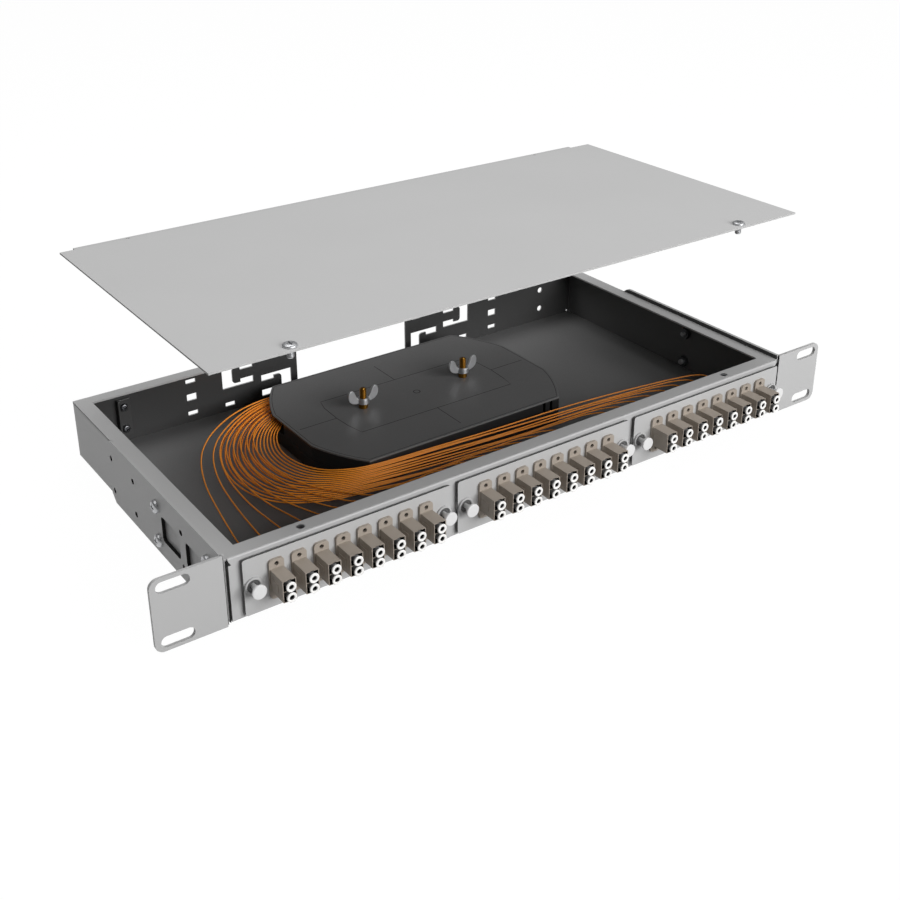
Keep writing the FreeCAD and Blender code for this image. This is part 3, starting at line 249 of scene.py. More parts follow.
def soften(mesh, width, angle=40):
    """Rounds the sharp edges of a mesh."""
    bmesh.ops.remove_doubles(mesh, verts=mesh.verts, dist=MERGE)
    bmesh.ops.dissolve_limit(mesh, angle_limit=math.radians(1), verts=mesh.verts, edges=mesh.edges)
    mesh.normal_update()
    sharp = [edge for edge in mesh.edges
             if len(edge.link_faces) == 2 and edge.calc_face_angle(0) > math.radians(angle)]
    bmesh.ops.bevel(mesh, geom=sharp, offset=width * MM, segments=2, profile=0.5,
                    affect="EDGES", clamp_overlap=True)
    return mesh


def rounded(node, width):
    """A copy of a CAD node's shape with softened edges."""
    mesh = bmesh.new()
    mesh.from_mesh(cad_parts[node].data)
    return soften(mesh, width)


def joined(*meshes):
    """Several bmeshes as one, each kept as it is."""
    whole = bmesh.new()
    for mesh in meshes:
        data = bpy.data.meshes.new("part")
        mesh.to_mesh(data)
        whole.from_mesh(data)
        bpy.data.meshes.remove(data)
    return whole


def shifted(mesh, x=0.0, y=0.0, z=0.0, turn=None):
    """A copy of a mesh, turned about the origin and then moved."""
    copy = mesh.copy()
    if turn:
        bmesh.ops.transform(copy, matrix=turn, verts=copy.verts)
    bmesh.ops.translate(copy, vec=Vector((x, y, z)) * MM, verts=copy.verts)
    return copy


def tint(mesh, index):
    """Gives all faces one place in the piece's list of materials."""
    for face in mesh.faces:
        face.material_index = index
    return mesh


# What turns a lathe's Z, and a sheet's thickness, to an axis
LATHE_AXES = {
    "x": Matrix(((0, 0, 1, 0), (1, 0, 0, 0), (0, 1, 0, 0), (0, 0, 0, 1))),
    "y": Matrix(((1, 0, 0, 0), (0, 0, 1, 0), (0, -1, 0, 0), (0, 0, 0, 1))),
    "z": Matrix.Identity(4),
}
SHEET_AXES = {
    "x": LATHE_AXES["x"],
    "y": Matrix(((1, 0, 0, 0), (0, 0, 1, 0), (0, 1, 0, 0), (0, 0, 0, 1))),
    "z": Matrix.Identity(4),
}


def lathe(profile, axis, sides, centre=(0, 0, 0)):
    """A turned solid from pairs of height and radius along an axis."""
    mesh = bmesh.new()
    rings = []
    for height, radius in profile:
        if radius <= 0:
            rings.append([mesh.verts.new((0, 0, height * MM))])
            continue
        ring = loop_round(0, 0, radius * MM, sides)
        rings.append([mesh.verts.new((u, v, height * MM)) for u, v in ring])
    for low, high in zip(rings, rings[1:]):
        for step in range(sides):
            after = (step + 1) % sides
            if len(low) == 1 and len(high) == 1:
                break
            if len(low) == 1:
                mesh.faces.new((low[0], high[step], high[after]))
            elif len(high) == 1:
                mesh.faces.new((low[step], low[after], high[0]))
            else:
                mesh.faces.new((low[step], low[after], high[after], high[step]))
    bmesh.ops.transform(mesh, matrix=LATHE_AXES[axis], verts=mesh.verts)
    bmesh.ops.translate(mesh, vec=Vector(centre) * MM, verts=mesh.verts)
    return mesh


def arc(u, v, radius, start, end, steps=6):
    """Points on an arc about a centre, between two angles in degrees."""
    turns = [math.radians(start + (end - start) * step / steps) for step in range(steps + 1)]
    return [(u + radius * math.cos(turn), v + radius * math.sin(turn)) for turn in turns]


def loop_round(u, v, radius, sides=28):
    """A circle without a doubled point."""
    return arc(u, v, radius, 0, 360, sides)[:-1]


def loop_span(low_u, low_v, high_u, high_v):
    """A rectangle between two corners."""
    return [(low_u, low_v), (high_u, low_v), (high_u, high_v), (low_u, high_v)]


def loop_box(u, v, wide, tall, radius=0.0, steps=5):
    """A rectangle about a centre, with rounded corners if it has a radius."""
    if radius <= 0:
        return loop_span(u - wide / 2, v - tall / 2, u + wide / 2, v + tall / 2)
    points = []
    for turn, (a, b) in enumerate([(1, 1), (-1, 1), (-1, -1), (1, -1)]):
        middle = (u + a * (wide / 2 - radius), v + b * (tall / 2 - radius))
        points += arc(*middle, radius, 90 * turn, 90 * (turn + 1), steps)
    return points


def sheet_plate(loops, low, high, axis, bevel=0.0):
    """A flat sheet with holes. Loops lie across the axis, which the sheet is thick along."""
    curve = bpy.data.curves.new("outline", "CURVE")
    curve.dimensions = "2D"
    curve.fill_mode = "BOTH"
    for loop in loops:
        spline = curve.splines.new("POLY")
        spline.points.add(len(loop) - 1)
        for point, (u, v) in zip(spline.points, loop):
            point.co = (u * MM, v * MM, 0, 1)
        spline.use_cyclic_u = True
    curve.extrude = (high - low) / 2 * MM
    item = bpy.data.objects.new("outline", curve)
    bpy.context.scene.collection.objects.link(item)
    graph = bpy.context.evaluated_depsgraph_get()
    data = bpy.data.meshes.new_from_object(item.evaluated_get(graph), depsgraph=graph)
    mesh = bmesh.new()
    mesh.from_mesh(data)
    bpy.data.objects.remove(item)
    bpy.data.curves.remove(curve)
    bpy.data.meshes.remove(data)
    bmesh.ops.translate(mesh, vec=(0, 0, (low + high) / 2 * MM), verts=mesh.verts)
    bmesh.ops.transform(mesh, matrix=SHEET_AXES[axis], verts=mesh.verts)
    bmesh.ops.remove_doubles(mesh, verts=mesh.verts, dist=MERGE / 2)
    bmesh.ops.recalc_face_normals(mesh, faces=mesh.faces)
    return soften(mesh, bevel, 50) if bevel else mesh


def block(low, high, bevel=0.0):
    """A box between two corners."""
    mesh = bmesh.new()
    bmesh.ops.create_cube(mesh, size=1)
    spans = Vector(high) - Vector(low)
    middle = (Vector(high) + Vector(low)) / 2
    bmesh.ops.scale(mesh, vec=spans * MM, verts=mesh.verts)
    bmesh.ops.translate(mesh, vec=middle * MM, verts=mesh.verts)
    return soften(mesh, bevel) if bevel else mesh


def carve(mesh, tool):
    """The first mesh without the second, as a new bmesh."""
    items = []
    for each in (mesh, tool):
        data = bpy.data.meshes.new("carve")
        bmesh.ops.recalc_face_normals(each, faces=each.faces)
        each.to_mesh(data)
        items.append(bpy.data.objects.new("carve", data))
        bpy.context.scene.collection.objects.link(items[-1])
    change = items[0].modifiers.new("cut", "BOOLEAN")
    change.object = items[1]
    change.operation = "DIFFERENCE"
    change.solver = "EXACT"
    graph = bpy.context.evaluated_depsgraph_get()
    data = bpy.data.meshes.new_from_object(items[0].evaluated_get(graph), depsgraph=graph)
    result = bmesh.new()
    result.from_mesh(data)
    for item in items:
        bpy.data.objects.remove(item)
    return result


# Housing: places in the tray's list of materials, for the painted shade on its inner faces
FLOOR_SHADE, WALL_SHADE = 1, 2


def paint_shade_inside(mesh, axis, towards, index):
    """Paints shade on the faces that look into the tray."""
    for face in mesh.faces:
        if face.normal[axis] * towards > 0.7:
            face.material_index = index
    return mesh


def tie_slot(side, inner_x, low, legs_out):
    """A C-shaped opening round a T-shaped tongue with rounded shoulders."""
    wide, tall, bar, leg, head, over, soft = 22.8, 15.7, 4.6, 7.6, 5.6, 2.3, 2.1
    spine, mouth = (inner_x + wide, inner_x) if legs_out else (inner_x, inner_x + wide)
    step = -1 if legs_out else 1
    neck, tip = spine + (leg + head) * step, spine + leg * step
    high = low + tall
    shoulder = [(soft * (1 - math.sin(turn)), soft * (1 - math.cos(turn)))
                for turn in [math.pi / 2 * part / 5 for part in range(6)]]
    points = [(mouth, low), (spine, low), (spine, high), (mouth, high), (mouth, high - bar),
              (neck, high - bar), (neck, high - over)]
    points += [(tip + a * step, high - over - b) for a, b in shoulder]
    points += [(tip + a * step, low + over + b) for a, b in reversed(shoulder)]
    points += [(neck, low + over), (neck, low + bar), (mouth, low + bar)]
    return [(x * side, z) for x, z in points]


# Small slots of the rear wall: inner end, low edge and height
REAR_SLOTS = [(119.9, -13.7, 2.9), (119.9, -3.1, 4.8), (119.9, 9.4, 2.9), (93, -15.1, 2.9),
              (50.5, 10.9, 2.9)]
REAR_SLOT_LONG = 7.0


def rear_wall():
    """The rear wall with the cable opening, tie slots, small slots and holes, and painted shade on its
    inner face.
    """
    loops = [loop_box(0, WALL_MIDDLE, 2 * HALF_PAN, WALL_TALL), loop_box(0, -0.4, 89.6, 28.4, 0.8)]
    for side in (-1, 1):
        loops.append(tie_slot(side, 49.6, -15.0, False))
        loops.append(tie_slot(side, 78.3, -1.9, True))
        for x, low, tall in REAR_SLOTS:
            middle = ((x + REAR_SLOT_LONG / 2) * side, low + tall / 2)
            loops.append(loop_box(*middle, REAR_SLOT_LONG, tall, 0.3, 2))
        clamp_hole = 1.55 if side < 0 else 2.2
        loops += [loop_round(CLAMP_SCREW_X * side, z, clamp_hole, 20) for z in CLAMP_SCREWS_Z]
        loops.append(loop_round(198.4 * side, -17.3, 0.9, 12))
    wall = sheet_plate(loops, TRAY_REAR - TRAY_SHEET, TRAY_REAR, "y", 0.2)
    return paint_shade_inside(wall, 1, -1, WALL_SHADE)


def side_wall(sign):
    """A side wall with painted shade on its inner face, deeper on the left one."""
    low, high = sorted(((HALF_TRAY - TRAY_SHEET) * sign, HALF_TRAY * sign))
    wall = sheet_plate([loop_box(PAN_MIDDLE, WALL_MIDDLE, PAN_DEEP, WALL_TALL)], low, high, "x", 0.4)
    return paint_shade_inside(wall, 0, -sign, WALL_SHADE if sign < 0 else FLOOR_SHADE)


def tray_floor():
    """The tray's floor, with painted shade on its top face."""
    floor = sheet_plate([loop_box(0, PAN_MIDDLE, 2 * HALF_PAN, PAN_DEEP)], TRAY_LOW,
                        TRAY_LOW + TRAY_SHEET, "z", 0.3)
    return paint_shade_inside(floor, 2, 1, FLOOR_SHADE)


def tray_rim():
    """The rim round the tray's mouth, with a hole for each threaded insert, and painted shade on its
    underside.
    """
    loops = [loop_box(0, 106.55, 2 * HALF_TRAY, 210.9), loop_span(-191.7, 10.1, 191.7, 203.7)]
    loops += [loop_round(x, COVER_SCREW_Y, COVER_HOLE) for x in COVER_SCREWS_X]
    rim = sheet_plate(loops, TRAY_HIGH - TRAY_SHEET, TRAY_HIGH, "z", 0.35)
    return paint_shade_inside(rim, 2, -1, WALL_SHADE)


new_piece("tray_shell", joined(tray_floor(), rear_wall(), side_wall(-1), side_wall(1), tray_rim()),
          [COAT, COAT_PAINTED_SHADE, COAT_PAINTED_DEEP_SHADE], "chassis", "tray")

# Painted shade on the front wall's face that looks into the tray
front_panel = paint_shade_inside(rounded("front_panel", 0.25), 1, 1, 1)
new_piece("front_wall", front_panel, [COAT, COAT_PAINTED_DEEP_SHADE], "chassis", "front_panel")


# Rack ears

def flange_loops():
    """The side flange of an ear, seen from the side as Y across and Z up."""
    outline = [(1.2, EAR_LOW), (FLANGE_REAR - 5, EAR_LOW), (FLANGE_REAR, EAR_LOW + 5)]
    outline += arc(FLANGE_REAR - 8, EAR_HIGH - 8, 8, 0, 90) + [(1.2, EAR_HIGH)]
    holes = [loop_round(y, z, 1.75, 24) for y, z in BARE_HOLES + SCREWED_HOLES]
    windows = [loop_box(middle, -1.9, 23.4, 16.0, 2.5) for middle in (32.9, 64.3)]
    return [outline] + holes + windows


def ear_loops(sign):
    """The ear itself, seen from the front, with its two slots."""
    outline = [(EAR_ROOT, EAR_LOW)]
    outline += arc(EAR_TIP - EAR_CORNER, EAR_LOW + EAR_CORNER, EAR_CORNER, -90, 0)
    outline += arc(EAR_TIP - EAR_CORNER, EAR_HIGH - EAR_CORNER, EAR_CORNER, 0, 90)
    outline.append((EAR_ROOT, EAR_HIGH))
    slots = [loop_box(EAR_SLOT_X * sign, z, 18, 6.5, 3.2, 8) for z in EAR_SLOTS_Z]
    return [[(x * sign, z) for x, z in outline]] + slots


def hole_shadow_disc(sign, y, z):
    """A painted shadow: a dark disc on the side wall, behind a bare hole of the flange."""
    near, far = (HALF_TRAY + 0.02) * sign, (HALF_TRAY + 0.1) * sign
    return tint(lathe([(near, 1.8), (far, 1.8), (far, 0)], "x", 20, (0, y, z)), 2)


def ear_flange(sign):
    """The flange along the side wall, with painted shade on its inner face and painted shadow on the
    edges of its holes and windows.
    """
    low, high = sorted((HALF_TRAY * sign, FLANGE_FACE * sign))
    flange = paint_shade_inside(sheet_plate(flange_loops(), low, high, "x", 0.3), 0, -sign, 1)
    for face in flange.faces:
        spot = face.calc_center_median() / MM
        if abs(face.normal.x) < 0.4 and 12 < spot.y < 148 and -16 < spot.z < 13:
            face.material_index = 2
    return flange


for side, sign in (("left", -1), ("right", 1)):
    ear = sheet_plate(ear_loops(sign), 0, EAR_SHEET, "y", 0.3)
    shadow_discs = [hole_shadow_disc(sign, y, z) for y, z in BARE_HOLES]
    new_piece("ear_bracket_" + side, joined(ear_flange(sign), ear, *shadow_discs), [COAT, COAT_PAINTED_DEEP_SHADE, PAINTED_SHADOW],
              "chassis", "rack_ear_" + side)


def gap_shadows(sign):
    """Painted shadow: black strips in the narrow gaps that show as dark lines where ear, side wall and
    front meet, and a black triangle where the front has a small notch.
    """
    parts = []
    for near, far, high in ((202.1, 201.8, EAR_HIGH - 0.4), (200.7, 200.35, TRAY_HIGH - 1.5)):
        low_x, high_x = sorted((near * sign, far * sign))
        parts.append(block((low_x, 0.35, EAR_LOW + 1.6), (high_x, 1.25, high)))
    notch = [(200.9 * sign, TRAY_HIGH - 4.2), (198.0 * sign, TRAY_HIGH - 4.2),
             (199.9 * sign, TRAY_HIGH - 1.0)]
    return parts + [sheet_plate([notch], -0.04, 0.3, "y")]


new_piece("gap_shadow_strips", joined(*gap_shadows(-1), *gap_shadows(1)), PAINTED_SHADOW, "chassis")


# Cover

cover_holes = [loop_round(x, COVER_SCREW_Y, COVER_HOLE) for x in COVER_SCREWS_X]
cover = sheet_plate([loop_span(-HALF_PAN, 0, HALF_PAN, COVER_DEEP)] + cover_holes,
                    COVER_LOW, COVER_LOW + COVER_SHEET, "z", 0.2)
tongue_holes = [loop_round(x, 200.5, 1.5, 20) for x in (-158.5, 152.5)]
tongue = sheet_plate([loop_span(-191.3, 196.6, 187, 203.2)] + tongue_holes,
                     COVER_LOW - COVER_SHEET, COVER_LOW, "z", 0.2)
new_piece("cover_sheet", joined(cover, tongue), COAT_TOP, "cover", "cover")


# Screws

def cross_recess(radius, depth):
    """A tool for the cross in a screw's head, pointing down from zero."""
    slot = 0.45
    cross = [(-radius, -slot), (-slot, -slot), (-slot, -radius)]
    for _ in range(3):
        cross += [(-y, x) for x, y in cross[-3:]]
    return sheet_plate([cross], -depth, 1.0, "z")


def pan_screw(head, thick, shank, length):
    """A domed cross-recess screw on +Z, its head's seat at zero."""
    turns = [math.pi / 2 * step / 7 for step in range(7)]
    dome = [(thick * math.sin(turn) ** 0.8, head * math.cos(turn) ** 0.45) for turn in turns]
    profile = [(-length, 0), (-length, shank - 0.4)]
    for turn in range(int((length - 1) / THREAD_PITCH)):
        place = -length + 0.4 + THREAD_PITCH * turn
        profile += [(place, shank - 0.3), (place + THREAD_PITCH / 2, shank)]
    profile += [(-0.3, shank - 0.15), (0, shank - 0.1), (0, head)] + dome + [(thick, 0)]
    tool = cross_recess(head * 0.55, 1.5)
    bmesh.ops.translate(tool, vec=(0, 0, thick * MM), verts=tool.verts)
    return carve(lathe(profile, "z", 36), tool)


cover_screw = pan_screw(3.9, 1.6, 1.95, 6.2)
for side, x in zip(("left", "right"), COVER_SCREWS_X):
    new_piece("cover_fastener_" + side, shifted(cover_screw, x, COVER_SCREW_Y, COVER_LOW + 1.1),
              ZINC_MATT, "cover_screw_" + side, "cover_screw_" + side)

ear_screw = pan_screw(3.9, 2.3, 1.9, 8.2)
ear_screws = []
for sign in (-1, 1):
    outwards = Matrix.Rotation(math.radians(90 * sign), 4, "Y")
    ear_screws += [shifted(ear_screw, FLANGE_FACE * sign, y, z, outwards) for y, z in SCREWED_HOLES]
new_piece("ear_fasteners", joined(*ear_screws), ZINC_MATT, "chassis", "ear_screws")
new_piece("ear_hex_nuts", rounded("ear_nuts", 0.2), ZINC_DARK, "chassis", "ear_nuts")

# Threaded inserts in the front rim: a barrel below the rim and a thin flange in its hole
bush = lathe([(10.3, 2.0), (10.3, 3.4), (17.25, 3.4), (17.25, 2.38), (18.4, 2.38), (18.48, 2.3),
              (18.48, 2.1), (18.4, 2.0), (10.3, 2.0)], "z", 36)
new_piece("rim_inserts", joined(*[shifted(bush, x, COVER_SCREW_Y) for x in COVER_SCREWS_X]), ZINC,
          "chassis", "cover_rivet_nuts")

# Cable clamp
new_piece("clamp_tab", rounded("cable_clamp", 0.3), CLAMP, "chassis", "cable_clamp")
clamp_screw = pan_screw(2.7, 1.8, 1.4, 3.5)
forwards = Matrix.Rotation(math.radians(90), 4, "X")
clamp_screws = [shifted(clamp_screw, -CLAMP_SCREW_X, 209.3, z, forwards) for z in CLAMP_SCREWS_Z]
new_piece("clamp_fasteners", joined(*clamp_screws), ZINC_DARK, "chassis", "cable_clamp_screws")


# Adapter plates with what they carry

def port_loop(z):
    """A port's outline, with the keyway for the latch on top."""
    low, high = z - PORT_TALL / 2, z + PORT_TALL / 2
    key, key_high = 1.1, high + 0.32
    return [(-PORT_WIDE / 2, low), (PORT_WIDE / 2, low), (PORT_WIDE / 2, high), (key, high),
            (key, key_high), (-key, key_high), (-key, high), (-PORT_WIDE / 2, high)]


def port_shade(z):
    """Painted shade: black inner faces of a front port, and a black sheet at its bottom."""
    frame_loops = [loop_box(0, z, PORT_WIDE - less, PORT_TALL - less) for less in (0.01, 0.2)]
    walls = sheet_plate(frame_loops, ADAPTER_FACE + 0.2, ADAPTER_FACE + PORT_DEEP, "y")
    bottom = block((-3.4, ADAPTER_FACE + PORT_DEEP - 0.2, z - 2.9),
                   (3.4, ADAPTER_FACE + PORT_DEEP - 0.01, z + 2.9))
    return [tint(walls, 1), tint(bottom, 1)]


def adapter():
    """One duplex adapter: flange, housing with two keyed ports, ridges, and its rear half."""
    shell_loops = [loop_box(0, 0, 7.8, 12.8, 0.35, 2)] + [port_loop(z) for z in PORT_Z]
    front_shell = sheet_plate(shell_loops, ADAPTER_FACE, ADAPTER_FACE + 9, "y", 0.12)
    core = sheet_plate([loop_box(0, 0, 7.7, 12.7, 0.35, 2)], ADAPTER_FACE + PORT_DEEP, 2.6, "y")
    rear_shell = sheet_plate(shell_loops, 2.5, ADAPTER_REAR, "y", 0.12)
    hole_radius, holes_z = 1.25, (9, -9)
    flange_loops = [loop_box(0, 0, 8.6, 23.2, 2.0, 6)]
    flange_loops += [loop_round(0, z, hole_radius, 20) for z in holes_z]
    flange = sheet_plate(flange_loops, PLATE_FRONT - 1.6, PLATE_FRONT, "y", 0.25)
    ridges = [block((x - 0.15, -12.5, -2.4), (x + 0.15, -6.0, 2.4), 0.1) for x in (-4.0, 4.0)]
    port_shadows = [part for z in PORT_Z for part in port_shade(z)]
    # Painted shadow: dark discs behind the flange's holes
    shadow_discs = [tint(lathe([(PLATE_FRONT - 0.05, hole_radius), (PLATE_FRONT - 0.02, 0)], "y", 20,
                          (0, 0, z)), 1) for z in holes_z]
    return joined(front_shell, core, rear_shell, flange, *ridges, *port_shadows, *shadow_discs)


def dust_cap():
    """A soft white stopper with a deep bore and a rounded rim; painted shade darkens its stem, and its
    bore and bottom are painted black shadow.
    """
    front = ADAPTER_FACE - 2.3
    stem = ADAPTER_FACE + 8.5
    shell = lathe([(front + 5.2, 0), (front + 5.2, 1.3), (front + 0.4, 1.35), (front + 0.1, 1.5),
                   (front, 1.75), (front, 2.45), (front + 0.12, 2.7), (front + 0.35, 2.82),
                   (front + 0.75, 2.82), (front + 0.95, 2.7), (front + 1.0, 2.0), (stem, 2.0),
                   (stem, 0)], "y", 36)
    # Painted shade on the stem behind the rim
    for face in shell.faces:
        if face.calc_center_median().y > (front + 2.5) * MM:
            face.material_index = 2
    bottom = tint(lathe([(front + 2.6, 1.3), (front + 2.6, 0)], "y", 24), 1)
    bore = tint(lathe([(front + 0.9, 1.29), (front + 2.7, 1.28)], "y", 24), 1)
    return joined(shell, bottom, bore)


def rear_cap():
    """The stopper of a rear port that no fibre uses."""
    return lathe([(2.6, 0), (2.6, 2.6), (11.4, 2.7), (11.5, 2.82), (13.4, 2.82), (13.75, 2.5),
                  (13.8, 1.7), (13.4, 1.3), (10.0, 1.3), (10.0, 0)], "y", 24)


def plug():
    """A small-form plug with a latch, a round-edged body and a ribbed boot."""
    shell_rear = 20.5
    nose = block((-2.4, 2.6, -2.4), (2.4, ADAPTER_REAR, 2.4), 0.2)
    shell = block((-2.8, ADAPTER_REAR, -2.8), (2.8, shell_rear, 2.8), 0.5)
    latch = block((-1.2, 12.5, 2.7), (1.2, 19.5, 3.0), 0.15)
    boot = [(shell_rear, 0), (shell_rear, 2.2)]
    for rib in range(6):
        place = shell_rear + 0.1 + 1.35 * rib
        radius = 2.2 - 0.1 * rib
        groove = radius - 0.35
        boot += [(place, radius), (place + 0.85, radius), (place + 0.95, groove), (place + 1.25, groove)]
    boot += [(BOOT_END - 0.5, 1.5), (BOOT_END, 1.2), (BOOT_END, 0)]
    return joined(nose, shell, latch, lathe(boot, "y", 20))


def grommet():
    """The cup round a plunger, its shaded bottom, and the barrel behind the panel."""
    front = PLATE_FRONT - 1.3
    barrel_end, bore = 5.1, 1.75
    cup = lathe([(PLATE_FRONT, 2.9), (PLATE_FRONT, 4.75), (front + 0.6, 4.9), (front + 0.1, 4.8),
                 (front, 4.55), (front, 4.0), (front + 0.2, 3.75), (PLATE_FRONT - 0.5, 3.65)], "y", 44)
    bottom = tint(lathe([(PLATE_FRONT - 0.5, 3.7), (PLATE_FRONT - 0.45, bore), (barrel_end, bore)],
                        "y", 44), 1)
    barrel = lathe([(PLATE_FRONT, 2.9), (PLATE_FRONT, 2.85), (1.1, 2.85), (2.1, 3.2),
                    (barrel_end, 2.3), (barrel_end, bore)], "y", 32)
    return joined(cup, bottom, barrel)


def plunger():
    """A round head on a tapering neck and pin."""
    front = PLATE_FRONT - 7.9
    return lathe([(front, 0), (front, 3.5), (front + 0.08, 3.8), (front + 0.3, 4.05), (front + 0.6, 4.1),
                  (front + 1.1, 4.1), (front + 1.35, 3.9), (front + 1.4, 3.4), (front + 1.5, 2.6),
                  (front + 2.0, 2.25), (front + 4.2, 2.1), (front + 5.2, 1.6), (front + 5.6, 1.38),
                  (3.7, 1.38), (4.5, 1.1), (4.7, 0)], "y", 44)


SHAPES = {"adapter": adapter(), "cap": dust_cap(), "rear": rear_cap(), "plug": plug(),
          "grommet": grommet(), "plunger": plunger()}


def plate_sheet(centre, spots):
    """The plate with its openings, edges in shade, and the pads of the grommets behind it."""
    bore = 3.0
    loops = [loop_box(centre, -0.5, 127.2, 33.6, 1.5, 5)]
    loops += [loop_box(x, 0, 8.1, 13.1) for x in spots]
    loops += [loop_round(centre + x, 0, bore) for x in LATCH_X]
    sheet = sheet_plate(loops, PLATE_FRONT, PLATE_REAR, "y", 0.3)
    for face in sheet.faces:
        if abs(face.normal.y) < 0.4 or face.normal.y > 0.5:
            face.material_index = 1
    pad = [(PLATE_REAR - 0.1, bore), (PLATE_REAR - 0.1, 5.2), (-0.3, 4.7), (0, 4.5), (0, bore)]
    return joined(sheet, *[lathe(pad, "y", 36, (centre + x, 0, 0)) for x in LATCH_X])


def add_plate(side, centre):
    """One adapter plate with its adapters, caps, plugs, grommets and plungers."""
    body = "plate_" + side
    spots = [centre + adapter_x(number) for number in range(ADAPTERS)]
    new_piece("adapter_sheet_" + side, plate_sheet(centre, spots), [COAT, EDGE_DARK], body,
              "adapter_plate_" + side)
    new_piece("duplex_adapters_" + side, joined(*[shifted(SHAPES["adapter"], x) for x in spots]),
              [BEIGE, PAINTED_SHADOW], body, "adapters_" + side)
    caps = [shifted(SHAPES["cap"], x, 0, z) for x in spots for z in PORT_Z]
    caps += [shifted(SHAPES["rear"], x, 0, PORT_Z[1]) for x in spots]
    new_piece("port_caps_" + side, joined(*caps), [WHITE, PAINTED_SHADOW, CAP_STEM_SHADE], body, "dust_caps_" + side)
    for number, x in enumerate(spots):
        new_piece("plug_%s_%d" % (side, number + 1), shifted(SHAPES["plug"], x, 0, PORT_Z[0]),
                  BEIGE, body, "fibre_plugs_" + side)
    cups = [shifted(SHAPES["grommet"], centre + x) for x in LATCH_X]
    new_piece("latch_cups_" + side, joined(*cups), [COAT, EDGE_DARK], body, "latch_grommets_" + side)
    for tag, x in zip("ab", LATCH_X):
        new_piece("latch_knob_%s_%s" % (side, tag), shifted(SHAPES["plunger"], centre + x), NYLON,
                  "plunger_%s_%s" % (side, tag), "latch_plunger_%s_%s" % (side, tag))


for side, centre in PLATE_X.items():
    add_plate(side, centre)


# Splice cassette

def cassette_loop(inset=0.0):
    """The cassette's outline: straight sides joined by long, slightly bowed corners."""
    half, flat, low, high = 92.4 - inset, 73 - inset * 0.4, 70.8 + inset, 194.0 - inset
    reach = 37 - inset * 0.4
    bow, steps = 2.0, 10
    points = []
    for a, b in ((1, -1), (1, 1), (-1, 1), (-1, -1)):
        edge = low if b < 0 else high
        ends = [(flat * a, edge), (half * a, edge - reach * b)]
        if a * b > 0:
            ends.reverse()
        away = Vector((a, 0.6 * b)).normalized()
        for step in range(steps + 1):
            part = step / steps
            out = 4 * bow * part * (1 - part)
            points.append((ends[0][0] + (ends[1][0] - ends[0][0]) * part + away.x * out,
                           ends[0][1] + (ends[1][1] - ends[0][1]) * part + away.y * out))
    return points


new_piece("cassette_lower", rounded("splice_tray_lower", 0.3), BLACK, "chassis", "splice_tray_lower")
new_piece("cassette_upper", rounded("splice_tray_upper", 0.3), BLACK, "chassis", "splice_tray_upper")
lid = sheet_plate([cassette_loop()] + [loop_round(x, STUD_Y, 2.3, 20) for x in STUD_X],
                  LID_TOP - 1.2, LID_TOP, "z", 0.35)
new_piece("cassette_cover", lid, LID, "chassis", "cassette_lid")
new_piece("splice_combs", rounded("splice_holders", 0.1), BLACK, "chassis", "splice_holders")
new_piece("splice_tubes", rounded("splice_sleeves", 0.1), CLEAR, "chassis", "splice_sleeves")


def line_strip(points, wide, closed=False):
    """Painted shadow of an engraved line along points on the lid: a thin dark bar whose top shows as the
    line.
    """
    low, high = LID_TOP - 0.3, LID_TOP + 0.02
    outer, inner = [], []
    count = len(points)
    for step, (x, y) in enumerate(points):
        before = points[step - 1] if step or closed else points[0]
        after = points[(step + 1) % count] if step < count - 1 or closed else points[-1]
        along = Vector((after[0] - before[0], after[1] - before[1]))
        along.normalize()
        outer.append((x - along.y * wide / 2, y + along.x * wide / 2))
        inner.append((x + along.y * wide / 2, y - along.x * wide / 2))
    mesh = bmesh.new()
    levels = [[mesh.verts.new((x * MM, y * MM, z * MM)) for x, y in side]
              for side, z in ((outer, low), (outer, high), (inner, high), (inner, low))]
    for step in range(count if closed else count - 1):
        after = (step + 1) % count
        for a, b in ((0, 1), (1, 2), (2, 3), (3, 0)):
            mesh.faces.new((levels[a][step], levels[a][after], levels[b][after], levels[b][step]))
    if not closed:
        mesh.faces.new([level[0] for level in levels])
        mesh.faces.new([level[-1] for level in levels])
    return mesh


# The lid's grooves, as painted shadow lines: a panel with bowed ends, a ring in its middle, four lines
# out of it, and a border
PANEL_LINE = [(-57.9, 104.3), (59, 104.3), (60.6, 116), (61.4, 129.5), (60.6, 143), (58.4, 154.9),
              (-58.4, 154.9), (-60.8, 146), (-61.4, 129.4), (-60.4, 116)]
OUTWARD_LINES = [[(-88, 129.3), (-61.4, 129.4)], [(61.4, 129.6), (88.2, 129.8)],
                 [(-1, 154.9), (-1, 180.5)], [(-0.9, 78.5), (-0.9, 104.3)]]
marks = [line_strip(PANEL_LINE, 0.4, True), line_strip(loop_round(1.3, 131.4, 2.2, 20), 0.5, True)]
marks += [line_strip(line, 0.4) for line in OUTWARD_LINES]
marks.append(line_strip(cassette_loop(1.7), 0.3, True))
new_piece("cassette_groove_shadows", joined(*marks), PAINTED_SHADOW, "chassis")


# Studs and wing nuts

def stud():
    """A stud with a plain foot, a collar above the lid and a threaded end."""
    foot, core, crest, collar, tip = -18.4, 1.9, 2.2, LID_TOP + 3.1, LID_TOP + 14
    profile = [(foot, 0), (foot, 1.95), (LID_TOP, 1.95), (LID_TOP, 2.8), (LID_TOP + 0.2, 2.95),
               (collar - 0.2, 2.95), (collar, 2.75), (collar, core)]
    place = collar + 0.2
    while place < tip - 0.8:
        profile += [(place, core), (place + THREAD_PITCH / 2, crest)]
        place += THREAD_PITCH
    profile += [(tip - 0.4, 1.6), (tip, 1.4), (tip, 0)]
    return lathe(profile, "z", 24)


